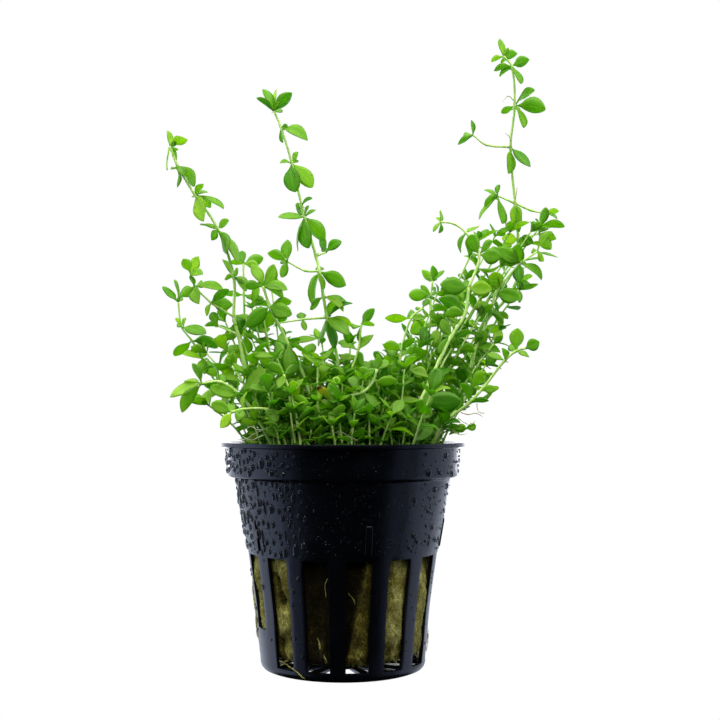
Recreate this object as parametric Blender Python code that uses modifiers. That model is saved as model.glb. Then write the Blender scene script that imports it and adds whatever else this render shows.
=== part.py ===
"""Micranthemum glomeratum from tissue culture, rooted in a plug of mineral wool in a black net pot.

The pot, the plug and each rooted shoot are objects of their own. A shoot is one closed body: its stem runs
from node to node, and its leaves and side branches start inside the nodes and are joined to it.
The origin is the middle of the pot's flat base, +Z is up, and -Y is the side that the shoots face.
"""

import math
import random

import bmesh
import bpy
from mathutils import Matrix, Vector, noise
from mathutils.bvhtree import BVHTree

MM = 0.001

# Net pot: driving sizes in mm. A common 5 cm pot for aquarium plants, with a rim 55 mm across.
POT_HEIGHT = 50.0
RIM_RADIUS = 27.5
COLLAR_RADIUS = 26.1
BODY_RADIUS = 23.9
SLOT_TOP_RADIUS = 21.1
BASE_RADIUS = 18.2
WALL = 0.85
COLLAR_BOTTOM = 42.5
SLOT_TOP = 25.7
SLOT_BOTTOM = 1.9
SHORT_SLOT_BOTTOM = 9.5
FLOOR_OPENING = (4.5, 16.5)

# Slots round the pot. Angles are in degrees from the -Y side, towards +X.
SLOT_COUNT = 14
SLOT_WIDTH_ANGLE = 15.4
FIRST_SLOT_ANGLE = 9.5
SHORT_SLOTS = (4, 11)

# Small upright fins on the wall that keep stacked pots apart.
FIN_COUNT = 5
FIRST_FIN_ANGLE = 14.0
FIN_SIZE = (1.5, 1.2, 6.5)
FIN_PROUD = 0.35
FIN_HEIGHT = 30.0

# Plug of mineral wool
PLUG_TOP = 41.0
PLUG_BOTTOM = 1.3
PLUG_GAP = 0.45
PLUG_STEPS = 20
PLUG_LUMP = 0.55

# Shoots
ROOT_GAP = 0.35
STEM_RADIUS = 0.6
BRANCH_SHARE = 0.8
NODE_HALF_HEIGHT = 0.4
STEM_TAPER = 0.3
STALK_SIZE = (0.46, 0.3)
LEAF_THICKNESS = 0.4
LEAF_ASPECT = 0.52
CLEARANCE = 0.35

# Eye from which the shoots were measured: how far it is in front of the pot's axis, and how high
EYE_DISTANCE = 261.0
EYE_HEIGHT = 56.0

# Each shoot is a list of nodes from the root up. A node is (x, y, z) in mm with what grows there: a leaf is
# (x, y, z of its tip from the node, width that shows from the front), and a list is a side branch.
LEFT_TALL = [
    ((-14, -4, 0), []),
    ((-20, -5, 58), []),
    ((-23.5, -6, 74), [(-4.5, 2, -1.5, 1.5), [((-28, -6, 76), [(-1.5, 1, 3, 2), (-3, -2, 0, 1)])]]),
    ((-24.4, -6, 78), [
        (4.5, 2, -1, 1.2),
        [
            ((-27.5, -7, 79.8), []),
            ((-29.6, -8, 81.2), [(4, -2, 3, 1.5), (5, 2, -0.5, 3), (-1, -2, -3, 0.7)]),
            ((-33.2, -8, 84.8), [(6.5, 1, -1, 2), (1, -3, -4, 2.5), (-3.5, 2, 0.5, 1.4)]),
            ((-34.3, -8, 88), [(-1.5, -2, 3, 2.2), (2, 2, 3.5, 1.8), (3, -3, -0.5, 2)]),
        ],
    ]),
    ((-24.5, -6, 86.9), [(-2.5, 2, 4, 1.3), (-2, -2, -0.5, 1), (3, -2, -3, 2)]),
    ((-28, -6, 97.6), [(-4, 3, 1, 1), (2.5, 2, 2, 1.2), (1, -3, -5.5, 2.2), (4.5, -1, -7.5, 2)]),
    ((-33.2, -6, 105.3), [(2, -1, 2.5, 1), (3.5, 3, -3, 1.5), (2, -3, -6, 3), (6.5, 0, -2.5, 1.2)]),
    ((-37.1, -6, 111.9), [(4, -2, -4.5, 2.2), (0, 1, -5, 0.7)]),
    ((-38.8, -6, 116.2), [(-0.5, 1, 3.5, 1.2), (4, -2, 1.5, 1.6), (-0.5, -1, -5.5, 0.7), (1.5, 2, -3.5, 0.7)]),
]
LEFT_INNER = [
    ((-15, 5, 0), []),
    ((-21.8, 4, 69), [(0, -3, 4.5, 2.7), (-5, 2, -1, 1.4)]),
    ((-22, 4, 76), [(4.5, 2, -1.5, 2), (-4.5, -2, -2, 1.8)]),
    ((-22.2, 4, 82.9), [(4.5, -2, -1, 1.6), (-4.5, 1, 0, 1.2)]),
    ((-22.3, 4, 89.8), [(-0.5, 2, 3, 2), (3.5, -2, -1, 2), (2.5, 3, 2, 1.5), (-3, -1, 0.5, 1.2)]),
]
LEFT_BACK = [
    ((-12, 10, 0), []),
    ((-27, 7, 61), [(-5, 2, -1, 2), (4, 3, 2, 2)]),
    ((-31.5, 6, 68.6), [(-4.5, -1, 1, 1.6), (-0.5, 3, 2.5, 1.6), (0.5, -3, -3.5, 2.3)]),
    ((-33.8, 6, 72.6), [(5.5, 3, -1, 2.5), (-4, 2, -2, 1.2)]),
    ((-36.1, 6, 75.7), [(-1.5, -1, 2, 0.9), (1, 2, 2, 0.7), (5.5, -2, -1.5, 2.5)]),
    ((-36.9, 6, 81.3), [(-3.5, 1, 3.5, 1.6), (2.5, -2, 3.5, 1), (-1, 1, 5, 0.7)]),
]
LEFT_ARCH = [
    ((-11, -12, 0), []),
    ((-18.7, -13, 54.5), [(5, -2, 1, 1.2)]),
    ((-22.8, -14, 60.2), [(-7, -1, 2, 2.7), (5.5, -2, 6, 3)]),
    ((-27.5, -15, 63.4), [(-3, 2, 5, 0.7)]),
    ((-31.6, -16, 63), [(-4, 2, 0.5, 0.7), (-4.5, -1, -6.5, 1.8), (-7, 1, -2, 2), (-2, -1, 5, 0.7)]),
]
FRONT_ARCH = [
    ((-5, -15, 0), []),
    ((-11.5, -15.5, 54.6), []),
    ((-16.8, -18, 57.2), [(1, -2, 4, 1.2)]),
    ((-22.4, -20, 57.3), [(-1.5, -2, -2.5, 2.2), (1, 2, 4, 1)]),
    ((-25, -20, 56.6), [(-4.5, 1, 2, 2.7), (-2.5, -2, -3.5, 2)]),
]
FRONT_LEFT = [
    ((-7.5, -18.5, 0), []),
    ((-10.2, -19, 54.5), [(-3, -2, -4, 2.7), (4, -1, 2.5, 1.8)]),
    ((-11.5, -18, 60), [(-4.5, 0, 1, 2), (4, -2, -1.5, 1.6)]),
    ((-13.3, -17, 65), [(-3.5, -1, 2.5, 2), (3.5, 1, 2.5, 2), (-1, -3, -3, 2)]),
]
MIDDLE_LEFT = [
    ((-5, -6, 0), []),
    ((-8, -8, 62.5), [(-5.5, -2, 1, 2.2), (4.5, 2, 2, 1.6)]),
    ((-12.4, -8, 72.1), [(-3, -2, -1.5, 2), (0.5, -2, -7, 3.6), (5.5, -2, -3, 0.8), (6.5, 1, 1, 1.6)]),
    ((-16.4, -8, 80.4), [(5, -3, -2, 3.4), (5, 1, 1, 1.3), (-5.5, -2, -4.5, 3)]),
    ((-17.9, -8, 84.8), [(-2.5, 1, 5, 2.2), (2.5, 2, 5, 2.5), (5.5, -1, 0, 2), (-4, -2, 0.5, 2)]),
]
SECOND_TALL = [
    ((0, 1, 0), []),
    ((-1.2, 1, 67.8), [(-4, -2, 2, 1.6), (4, 2, 1.5, 1.6)]),
    ((-3.6, 1, 77.8), [
        (1.5, -2, -7, 2.2),
        (-2, 2, -6.5, 0.8),
        (5, -3, -4, 3),
        [((-9, 0, 77.4), [(0.5, -1, -2.5, 1.3)]), ((-14.9, -1, 76.5), [(1.5, 0, 2.5, 0.8), (2, -1, -4, 0.8)])],
    ]),
    ((-4.4, 1, 82.6), [(4.5, -2, -3.5, 1.8), (5.5, 2, -1.5, 1.2), (-3, -2, -3, 1.3)]),
    ((-5.3, 1, 88.2), [
        (6, -2, -3, 2.2),
        (3.5, 3, -2.5, 2),
        (-2, -2, -8, 0.8),
        [((-8.5, 0, 88.3), []), ((-12.4, -1, 90.3), [(0, 1, 5, 2.5), (-4.5, -1, 2, 2), (-1.5, 2, -3.5, 2)])],
    ]),
    ((-6.1, 2, 91.6), [[((-3.8, 3, 92.4), [(-1.5, 2, 3.5, 1.6), (3.5, -1, 2.5, 1.8)])], (-3.5, 1, 0.5, 1.6)]),
    ((-8.6, 2, 100.3), [(-6, -1, 0, 2), (-2, 2, 3, 1.6), (1, -2, -7, 3.1), (4.5, 1, -5.5, 3.1)]),
    ((-9.3, 2, 103), [(2.5, -1, 1.5, 1), (-2, 2, -8, 0.8)]),
    ((-11.5, 2, 112.4), [(1, -2, -6.5, 3.6), (4.7, 1, -5.5, 3.4), (1.5, 2, 2.5, 1), (-2.7, -1, 0, 1)]),
    ((-13.9, 2, 120.4), [(6, -1, -3, 3), (0.5, 2, -3.5, 0.8)]),
    ((-15.4, 2, 124), [(-2.5, 1, 5, 2), (-4, -2, 3, 0.8), (0.5, 2, 5, 1.3), (4, -1, 4.2, 2.2)]),
]
CENTRE_LOW = [
    ((-2, -17, 0), []),
    ((-1.7, -19, 58.5), [(-3.5, -1, 2.5, 1.3), (1, -2, -4.5, 2.4)]),
    ((4.6, -19, 61.2), [(-1, -1, -4.5, 2.2), (3.5, -1, -4, 1.8)]),
    ((6.7, -18, 63.6), [(-3, -1, 3, 2.2), (5.5, 1, 0, 2.2)]),
    ((7.6, -18, 66.2), [(2.5, 2, 2, 1.8), (0, -1, 3.5, 1.3)]),
]
CENTRE_SMALL = [
    ((3, -6, 0), []),
    ((1.5, -7, 64), [(-4.5, -2, 2, 2.4), (4, -2, 1, 2)]),
    ((3.4, -7, 70.5), [(3.5, 1, 3.5, 1.8), (1, -2, -3.5, 1.6), (-4, 2, 1, 1.2)]),
    ((4.1, -7, 76.3), [(3, 1, 3.5, 2), (3, -2, 0, 1), (0.5, 2, -4.5, 0.9)]),
]
CENTRE_RIGHT = [
    ((9, -8, 0), []),
    ((13.1, -8, 70.3), [(-4, -2, 1.5, 2), (3, -2, 3, 1.6)]),
    ((15.3, -8, 77.7), [(-6, 0, 0, 1.6), (3, -2, 0, 1.6)]),
    ((17.8, -8, 79.9), [(1.5, 1, 2, 1.3), (1, -2, -2, 1)]),
]
INNER_RIGHT = [
    ((12, 5, 0), []),
    ((18, 5, 66), [(-5, 1, 1, 2), (4.5, -2, 1, 2)]),
    ((19.5, 5, 76.4), [(-4.5, -1, -2, 3.5), (4, 2, 1.5, 1.6)]),
    ((19.6, 5, 80.1), [(1, -2, -3.5, 1.6), (-2, 2, 3, 1)]),
    ((19.7, 5, 82.9), [(-5, -1, 0, 2.7)]),
    ((20.1, 5, 86), [(-2.5, 1, 2.5, 1.8), (0, -2, 3.5, 1.6)]),
]
RIGHT_MAIN = [
    ((9, -14, 0), []),
    ((15.6, -15, 55.5), [(1, -2, -4, 3)]),
    ((17.5, -15, 59.4), [(9, -3, -0.3, 4.3), (-5.5, -1, -1.5, 2.2)]),
    ((19.6, -14, 64), [(-4.5, 1, 2, 2), (4.5, 2, 2, 1.4)]),
    ((24.2, -12, 73.5), [(-3, -2, -3.5, 1.8), (4.5, 1, 1, 1.4), (-2, 1, 4, 2.2)]),
    ((27.3, -11, 78.6), [(-6, 1, 3.5, 2.6), (-4.5, -2, 0, 2.2)]),
    ((28.2, -10, 84.5), [(-6.5, -1, 0.8, 3.8), (5.2, -2, -0.5, 3.2), (2, 2, 4, 1.6)]),
    ((30.5, -9, 91.9), [(5, -1, -0.5, 3.4), (-2, 2, 4.5, 2.9), (3, 2, 3, 1.4)]),
    ((27.5, -8, 96.8), [(-1.5, -1, -5.5, 0.8), (3, 2, 1.5, 1)]),
    ((21.9, -8, 99.2), [(-1, 1, 1, 0.8), (-0.5, -1, -2.5, 0.9), (-1.7, 0, -2.2, 0.9), (0, 2, 2.6, 0.9)]),
]
RIGHT_OUTER = [
    ((17, -1, 0), []),
    ((28.4, -2, 66.7), [(-4.5, 2, 2, 2), (4, -2, -2, 1.6)]),
    ((29.8, -2, 71), [(5.5, -2, -1, 2), (2, -1, 4, 2.7), (-4, 2, 1, 1.6)]),
    ((33, -2, 79), [(3, -1, -2.5, 1.1), (4, 2, -1.5, 1.1), (-4.5, -1, 1.5, 1.8)]),
    ((34.4, -2, 83.6), [(5, -2, -1.5, 3.4), (-0.5, -2, 4.5, 3.3), (-4, 3, 1, 1.4)]),
    ((39.7, -2, 90), [
        (-3.5, 1, 0.7, 2.5),
        (0, -2, -4.5, 2.2),
        (5, 1, -3, 1.6),
        [((43.5, -1, 92.6), [(4.6, 1, -1.3, 0.9), (3.5, 2, 4.4, 0.9), (1.5, -2, -2.2, 1.1)])],
    ]),
]
RIGHT_TALL = [
    ((13, 11, 0), []),
    ((27.3, 11, 63.8), [(5, 2, 1, 2), (-4, -2, 2, 2)]),
    ((30.7, 11, 75), [(5, -2, 0, 2), (-4, 2, 2, 2)]),
    ((38.5, 10, 85.1), [(1, -2, -4, 2), (4, 2, 2, 1.4)]),
    ((39.2, 9, 95.2), [
        (3.5, -2, -0.5, 2.7),
        (4, 1, -3.5, 1.8),
        (-3.7, 0, 0.4, 2.7),
        [((43.8, 10, 96.6), [(4, 0, -1.2, 2.2), (2.5, 2, 2.5, 1)])],
    ]),
    ((38.5, 9, 103.4), [
        (1, -2, -6.5, 2.2),
        [((34.6, 8, 105.1), [(0.2, 1, 2.5, 1.1), (-3, 0, 1.2, 1.1), (-3, -2, -2.2, 1.3), (1, -3, -6.3, 2.4)])],
        [((42.1, 10, 101.8), []), ((45, 11, 101.2), [(3.4, 1, 0.4, 1.3), (3, -1, -1.4, 0.9)])],
    ]),
    ((37.5, 9, 116), [
        (-0.5, -2, -6, 2.5),
        (4.5, -1, -4.5, 2.7),
        [
            ((32, 8, 116.5), []),
            ((29.1, 8, 118.7), [(-2.6, 1, -1.5, 1.1), (-0.4, -1, 3.4, 0.8), (-3.4, -1, -2.2, 0.8)]),
        ],
    ]),
    ((38.7, 9, 125.6), [(7, -1, -0.6, 2.7), (4.6, 2, 3.5, 1.1), (-3, 1, -1.6, 1.3), (2, -2, -5, 2.2)]),
    ((38.1, 9, 134.5), [(4, 1, 1.5, 2.2), (-4, -1, -1, 0.9), (2, -2, -4, 2), (-2.8, 2, -2.4, 0.8)]),
    ((36.2, 9, 136.6), [(-0.8, 1, 4, 1.8), (3.2, 2, 0.6, 1.8), (-2.7, -1, -1, 1)]),
]
RIGHT_LOW = [
    ((16, -9, 0), []),
    ((22, -13, 53.2), [(4.5, -2, -0.5, 1), (-1.5, -3, 1.5, 3)]),
    ((28.2, -14, 58.7), [(4.5, -1, 0.5, 1.1), (-2, -2, 4.5, 1.6)]),
    ((31.4, -14, 62.1), [(3.2, -2, -0.4, 1.8), (2.5, 2, 3, 1.3)]),
    ((36.2, -14, 68.2), [(-0.5, -2, 2.8, 1.2), (-4, 1, 1.5, 1.6)]),
    ((40.6, -14, 70.6), [(-2, -1, 4.8, 2.2), (3, 1, 1.5, 1.8), (2.4, -1, -1.5, 0.9)]),
]
MEASURED_SHOOTS = {
    "shoot_left_tall": LEFT_TALL,
    "shoot_left_inner": LEFT_INNER,
    "shoot_left_back": LEFT_BACK,
    "shoot_left_arch": LEFT_ARCH,
    "shoot_front_arch": FRONT_ARCH,
    "shoot_front_left": FRONT_LEFT,
    "shoot_middle_left": MIDDLE_LEFT,
    "shoot_second_tall": SECOND_TALL,
    "shoot_centre_low": CENTRE_LOW,
    "shoot_centre_small": CENTRE_SMALL,
    "shoot_centre_right": CENTRE_RIGHT,
    "shoot_inner_right": INNER_RIGHT,
    "shoot_right_main": RIGHT_MAIN,
    "shoot_right_outer": RIGHT_OUTER,
    "shoot_right_tall": RIGHT_TALL,
    "shoot_right_low": RIGHT_LOW,
}

# Short shoots of the low bush: (root x, y), (tip x, y, z), in mm
BUSH_SHOOTS = [
    ((0, -11), (-3, -15, 57)),
    ((6, -17), (10, -22, 56)),
    ((13, -16), (18, -22, 60)),
    ((-15, -9), (-20, -13, 64)),
    ((-19, -2), (-29, -8, 58)),
    ((-18, 8), (-29, 14, 62)),
    ((-10, 3), (-14, 2, 70)),
    ((6, -1), (9, -1, 66)),
    ((5, 8), (5, 12, 62)),
    ((-5, 12), (-9, 17, 63)),
    ((-12, 15), (-18, 22, 58)),
    ((0, 18), (-1, 27, 57)),
    ((5, 17), (8, 25, 66)),
    ((19, 8.5), (27, 13, 80)),
    ((18, 2), (31, 4, 69)),
    ((19, -6), (27, -8, 60)),
    ((9, 14), (17, 18, 77)),
    ((-6, -12), (-14, -15, 68)),
    ((18, 10), (30, 18, 68)),
    ((-19, 3), (-31, 4, 70)),
    ((14, -3), (20, -5, 71)),
]
BUSH_LEAF_SPACING = 7.2
BUSH_LEAF_LENGTH = (5.0, 7.2)
BUSH_LEAF_ASPECT = 0.6
BUSH_LEAF_RISE = (0.1, 0.7)
BUSH_SEED = 11


def collection(name, shown=True):
    made = bpy.data.collections.new(name)
    made.hide_render = not shown
    bpy.context.scene.collection.children.link(made)
    return made


def material(name, colour, roughness):
    made = bpy.data.materials.new(name)
    made.use_nodes = True
    shader = made.node_tree.nodes["Principled BSDF"]
    shader.inputs["Base Color"].default_value = (*colour, 1)
    shader.inputs["Roughness"].default_value = roughness
    return made


def add_object(name, bm, home, finish=None):
    """Puts the mesh, modelled in mm, into a new object in metres."""
    bmesh.ops.scale(bm, vec=(MM, MM, MM), verts=bm.verts)
    mesh = bpy.data.meshes.new(name)
    bm.to_mesh(mesh)
    bm.free()
    made = bpy.data.objects.new(name, mesh)
    home.objects.link(made)
    if finish:
        mesh.materials.append(finish)
    return made


def smooth(obj, angle=35):
    obj.data.shade_smooth()
    obj.data.set_sharp_from_angle(angle=math.radians(angle))


def around(radius, angle, height):
    """The point at this radius and height, angle degrees from the -Y side towards +X."""
    turn = math.radians(angle)
    return Vector((radius * math.sin(turn), -radius * math.cos(turn), height))


def angle_of(point):
    return math.degrees(math.atan2(point.x, -point.y)) % 360


def pot_profile():
    """The pot's outer skin from the edge of the rim to the middle of the floor, as (radius, height)."""
    rim = POT_HEIGHT - WALL
    return [
        (RIM_RADIUS, rim),
        (COLLAR_RADIUS, rim),
        (COLLAR_RADIUS - 0.5, COLLAR_BOTTOM),
        (BODY_RADIUS, COLLAR_BOTTOM - 0.4),
        (SLOT_TOP_RADIUS, SLOT_TOP),
        (BASE_RADIUS + 0.9, SHORT_SLOT_BOTTOM),
        (BASE_RADIUS + 0.25, SLOT_BOTTOM),
        (BASE_RADIUS - 0.2, 0.0),
        (FLOOR_OPENING[1], 0.0),
        (FLOOR_OPENING[0], 0.0),
        (0.0, 0.0),
    ]


def slot_at(angle):
    """The number of the slot that this angle falls in, or None on a rib."""
    pitch = 360 / SLOT_COUNT
    number = round((angle - FIRST_SLOT_ANGLE) / pitch)
    inside = abs(angle - FIRST_SLOT_ANGLE - number * pitch) < SLOT_WIDTH_ANGLE / 2
    return number % SLOT_COUNT if inside else None


def is_opening(face):
    """True for a face of the turned skin that lies in a slot of the wall or an opening of the floor."""
    centre = face.calc_center_median()
    slot = slot_at(angle_of(centre))
    if slot is None:
        return False
    radius = math.hypot(centre.x, centre.y)
    if centre.z < 0.01:
        return FLOOR_OPENING[0] < radius < FLOOR_OPENING[1]
    bottom = SHORT_SLOT_BOTTOM if slot in SHORT_SLOTS else SLOT_BOTTOM
    return bottom < centre.z < SLOT_TOP


def make_pot(home, cutters):
    """Turns the outer skin in steps that end on the slots' edges, opens the slots and gives it its wall."""
    bm = bmesh.new()
    pitch = 360 / SLOT_COUNT
    start = FIRST_SLOT_ANGLE - SLOT_WIDTH_ANGLE / 2
    verts = [bm.verts.new(around(radius, start, height)) for radius, height in pot_profile()]
    geom = [bm.edges.new(pair) for pair in zip(verts, verts[1:])]
    for _ in range(SLOT_COUNT):
        for angle, steps in ((SLOT_WIDTH_ANGLE, 2), (pitch - SLOT_WIDTH_ANGLE, 1)):
            turned = bmesh.ops.spin(
                bm, geom=geom, cent=(0, 0, 0), axis=(0, 0, 1), angle=math.radians(angle), steps=steps
            )
            geom = [part for part in turned["geom_last"] if isinstance(part, bmesh.types.BMEdge)]
    bmesh.ops.remove_doubles(bm, verts=bm.verts, dist=0.001)
    openings = [face for face in bm.faces if is_opening(face)]
    bmesh.ops.delete(bm, geom=openings, context="FACES")
    bmesh.ops.recalc_face_normals(bm, faces=bm.faces)
    if sum((face.normal.z for face in bm.faces if face.calc_center_median().z < 0.01)) > 0:
        bmesh.ops.reverse_faces(bm, faces=bm.faces)
    pot = add_object("net_pot", bm, home, material("black_polypropylene", (0.006, 0.0065, 0.008), 0.32))
    wall = pot.modifiers.new("wall", "SOLIDIFY")
    wall.thickness = WALL * MM
    wall.offset = -1
    wall.use_even_offset = True
    fins = bmesh.new()
    for number in range(FIN_COUNT):
        angle = FIRST_FIN_ANGLE + number * 360 / FIN_COUNT
        middle = around(wall_radius(FIN_HEIGHT) + FIN_PROUD - FIN_SIZE[1] / 2, angle, FIN_HEIGHT)
        turn = Matrix.Rotation(math.radians(angle), 4, "Z")
        tilt = Matrix.Rotation(math.atan2(BODY_RADIUS - SLOT_TOP_RADIUS, COLLAR_BOTTOM - SLOT_TOP), 4, "X")
        size = Matrix.Diagonal((*FIN_SIZE, 1))
        bmesh.ops.create_cube(fins, size=1, matrix=Matrix.Translation(middle) @ turn @ tilt @ size)
    cutter = add_object("fins", fins, cutters)
    cutter.hide_render = True
    cutter.display_type = "WIRE"
    join = pot.modifiers.new("fins", "BOOLEAN")
    join.operation = "UNION"
    join.object = cutter
    smooth(pot)
    return pot


def wall_radius(height):
    """The radius of the pot's outer skin at this height, read off its profile."""
    points = pot_profile()[1:9]
    for (upper, top), (lower, bottom) in zip(points, points[1:]):
        if bottom <= height <= top:
            return lower + (upper - lower) * (height - bottom) / (top - bottom)
    return BASE_RADIUS


def plug_profile():
    """The plug's outline from the middle of its top to the middle of its underside, as (radius, height)."""
    heights = (PLUG_TOP - 1.4, 33.0, SLOT_TOP, 18.0, SHORT_SLOT_BOTTOM, 5.5)
    sides = [(wall_radius(height) - WALL - PLUG_GAP, height) for height in heights]
    top = [(0, PLUG_TOP), (sides[0][0] - 1.5, PLUG_TOP)]
    under = [(sides[-1][0] - 1.6, 3.4), (9, PLUG_BOTTOM), (0, PLUG_BOTTOM)]
    return top + sides + under


def make_plug(home):
    """Turns the plug's outline and presses shallow dents into its side and underside."""
    bm = bmesh.new()
    verts = [bm.verts.new((radius, 0, height)) for radius, height in plug_profile()]
    edges = [bm.edges.new(pair) for pair in zip(verts, verts[1:])]
    bmesh.ops.spin(bm, geom=edges, cent=(0, 0, 0), axis=(0, 0, 1), angle=math.tau, steps=PLUG_STEPS)
    bmesh.ops.remove_doubles(bm, verts=bm.verts, dist=0.001)
    for vert in bm.verts:
        dent = PLUG_LUMP * (0.5 + 0.5 * noise.noise(vert.co * 0.35))
        radius = math.hypot(vert.co.x, vert.co.y)
        if radius > 1 and vert.co.z < PLUG_TOP - 0.01:
            vert.co.x *= 1 - dent / radius
            vert.co.y *= 1 - dent / radius
            vert.co.z += dent if vert.co.z < 5 else 0
    bmesh.ops.recalc_face_normals(bm, faces=bm.faces)
    plug = add_object("wool_plug", bm, home, material("mineral_wool", (0.19, 0.18, 0.05), 1.0))
    smooth(plug, 60)
    return plug


def seen(x, y, z):
    """A measured place. x and z hold on the plane through the axis, and y moves it along the line of sight."""
    share = (EYE_DISTANCE + y) / EYE_DISTANCE
    return Vector((x * share, y, EYE_HEIGHT + (z - EYE_HEIGHT) * share))


class Leaf:
    """A blade from its node to its tip. across is the direction of its width, and width is in mm."""

    def __init__(self, base, tip, across, width):
        self.base = base
        self.tip = tip
        self.across = across.normalized()
        self.width = width

    def resized(self, shift, share):
        """This leaf with its tip moved by shift, and share of its length and width."""
        along = self.tip + shift - self.base
        across = self.across - along.normalized() * self.across.dot(along.normalized())
        return Leaf(self.base, self.base + along * share, across, self.width * share)

    def section(self, at, half_width, half_thickness):
        """Four corners across the blade at this share of its length, turning left round its direction."""
        along = (self.tip - self.base).normalized()
        normal = along.cross(self.across)
        middle = self.base.lerp(self.tip, at)
        corners = ((1, 1), (-1, 1), (-1, -1), (1, -1))
        return [middle + self.across * a * half_width + normal * b * half_thickness for a, b in corners]

    def fold(self, width, thickness):
        """Three corners of the blade's shallow fold, from its middle: both edges, and the rib under it."""
        normal = (self.tip - self.base).normalized().cross(self.across)
        edge = self.across * width / 2
        if normal.z > 0:
            return [edge + normal * thickness / 4, -edge + normal * thickness / 4, normal * thickness * -0.75]
        return [edge - normal * thickness / 4, normal * thickness * 0.75, -edge - normal * thickness / 4]


class Stem:
    """A stem or side branch: its nodes' places and what grows at each. A branch starts at a parent's node."""

    def __init__(self, places, radius, start=None):
        self.places = places
        self.radius = radius
        self.start = start
        self.growth = [[] for _ in places]

    def direction(self, number):
        path = [self.start or self.places[0]] + self.places + [self.places[-1]]
        return (path[number + 2] - path[number]).normalized()


def measured_leaf(node, leaf):
    """A leaf given by its tip and the width that shows from the front. A narrow one is turned on edge."""
    x, y, z = node
    right, away, up, shown = leaf
    base = seen(x, y, z)
    tip = seen(x + right, y + away, z + up)
    along = (tip - base).normalized()
    width = max(shown, LEAF_ASPECT * (tip - base).length)
    flat = along.cross(Vector((0, 1, 0))).normalized()
    edge = along.cross(flat)
    if (along.cross(edge)).z * flat.z > 0:
        edge.negate()
    facing = shown / width
    return Leaf(base, tip, flat * facing + edge * math.sqrt(1 - facing * facing), width)


def measured_stem(nodes, radius, start=None):
    places = [seen(*place) for place, _ in nodes]
    if start is None:
        x, y, _ = nodes[0][0]
        places[0] = Vector((x, y, PLUG_TOP + ROOT_GAP))
    stem = Stem(places, radius, start)
    for number, (place, growth) in enumerate(nodes):
        for item in growth:
            if isinstance(item, list):
                stem.growth[number].append(measured_stem(item, radius * BRANCH_SHARE, places[number]))
            else:
                stem.growth[number].append(measured_leaf(place, item))
    return stem


def bush_stem(root, tip, draw):
    """A short shoot that rises, leans out towards its tip and bears crosswise pairs of leaves."""
    start = Vector((*root, PLUG_TOP + ROOT_GAP))
    end = Vector(tip)
    count = max(2, round((end - start).length / BUSH_LEAF_SPACING))
    places = []
    for number in range(count + 1):
        at = number / count
        lean = at ** 1.5
        places.append(Vector((
            start.x + (end.x - start.x) * lean,
            start.y + (end.y - start.y) * lean,
            start.z + (end.z - start.z) * at,
        )))
    stem = Stem(places, STEM_RADIUS * 0.85)
    turn = draw.uniform(0, math.tau)
    for number in range(1, count + 1):
        if number == 1 and count > 3:
            continue
        turn += math.pi / 2 + draw.uniform(-0.4, 0.4)
        leaves = 3 if number == count else 2
        for leaf in range(leaves):
            angle = turn + leaf * math.tau / leaves
            rise = draw.uniform(*BUSH_LEAF_RISE)
            length = draw.uniform(*BUSH_LEAF_LENGTH)
            out = Vector((math.cos(angle) * math.cos(rise), math.sin(angle) * math.cos(rise), math.sin(rise)))
            across = out.cross(Vector((0, 0, 1)))
            base = places[number]
            stem.growth[number].append(Leaf(base, base + out * length, across, length * BUSH_LEAF_ASPECT))
    return stem


def loft(sections):
    """Points and faces of the closed body through these four-cornered sections."""
    points = [corner for section in sections for corner in section]
    faces = [
        (low + side, low + (side + 1) % 4, low + 4 + (side + 1) % 4, low + 4 + side)
        for low in range(0, len(points) - 4, 4)
        for side in range(4)
    ]
    last = len(points) - 4
    return points, faces + [(3, 2, 1, 0), (last, last + 1, last + 2, last + 3)]


def loft_tree(sections):
    """A search tree of the surface through these sections, and a ball round it."""
    points, faces = loft(sections)
    middle = sum(points, Vector()) / len(points)
    reach = max((point - middle).length for point in points)
    return BVHTree.FromPolygons(points, faces), middle, reach


def ring(middle, along, reference, radius):
    """Four corners of a square section round along, one of them towards reference."""
    first = (reference - along * reference.dot(along)).normalized()
    second = along.cross(first)
    return [middle + side * radius for side in (first, second, -first, -second)]


def stem_trees(stem, spare):
    reference = Vector((0.3, -1, 0))
    trees = []
    path = [stem.start] * bool(stem.start) + stem.places
    for start, end in zip(path, path[1:]):
        along = (end - start).normalized()
        sections = [ring(place, along, reference, stem.radius + spare) for place in (start, end)]
        trees.append(loft_tree(sections))
    return trees


def leaf_tree(leaf, spare, start=0.3):
    sections = [
        leaf.section(start, 0.35 * leaf.width, LEAF_THICKNESS / 2 + spare),
        leaf.section(0.58, 0.5 * leaf.width + spare, LEAF_THICKNESS / 2 + spare),
        leaf.section(1.0, 0.25 * leaf.width + spare, spare + 0.05),
    ]
    return loft_tree(sections)


def touches(tried, placed):
    tree, middle, reach = tried
    return any(
        (middle - other_middle).length < reach + other_reach and tree.overlap(other)
        for other, other_middle, other_reach in placed
    )


def all_stems(stem):
    """The stem and every branch that it bears."""
    found = [stem]
    for growth in stem.growth:
        for item in growth:
            if isinstance(item, Stem):
                found += all_stems(item)
    return found


def settle_leaves(stem, placed):
    """Keeps each leaf that has room. One that would touch is swung nearer or farther, then made smaller."""
    shifts = [Vector((0, sign * step, 0)) for step in (0, 1.5, 3, 4.5) for sign in (1, -1)]
    lifts = [Vector((0, 0, step)) for step in (1.5, -1.5)]
    tries = [(shift, share) for share in (1.0, 0.8) for shift in shifts + lifts]
    for branch in all_stems(stem):
        for growth in branch.growth:
            for leaf in [item for item in growth if isinstance(item, Leaf)]:
                growth.remove(leaf)
                for shift, share in tries:
                    moved = leaf.resized(shift, share)
                    if not touches(leaf_tree(moved, CLEARANCE), placed):
                        growth.append(moved)
                        placed.append(leaf_tree(moved, 0))
                        break


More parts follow.
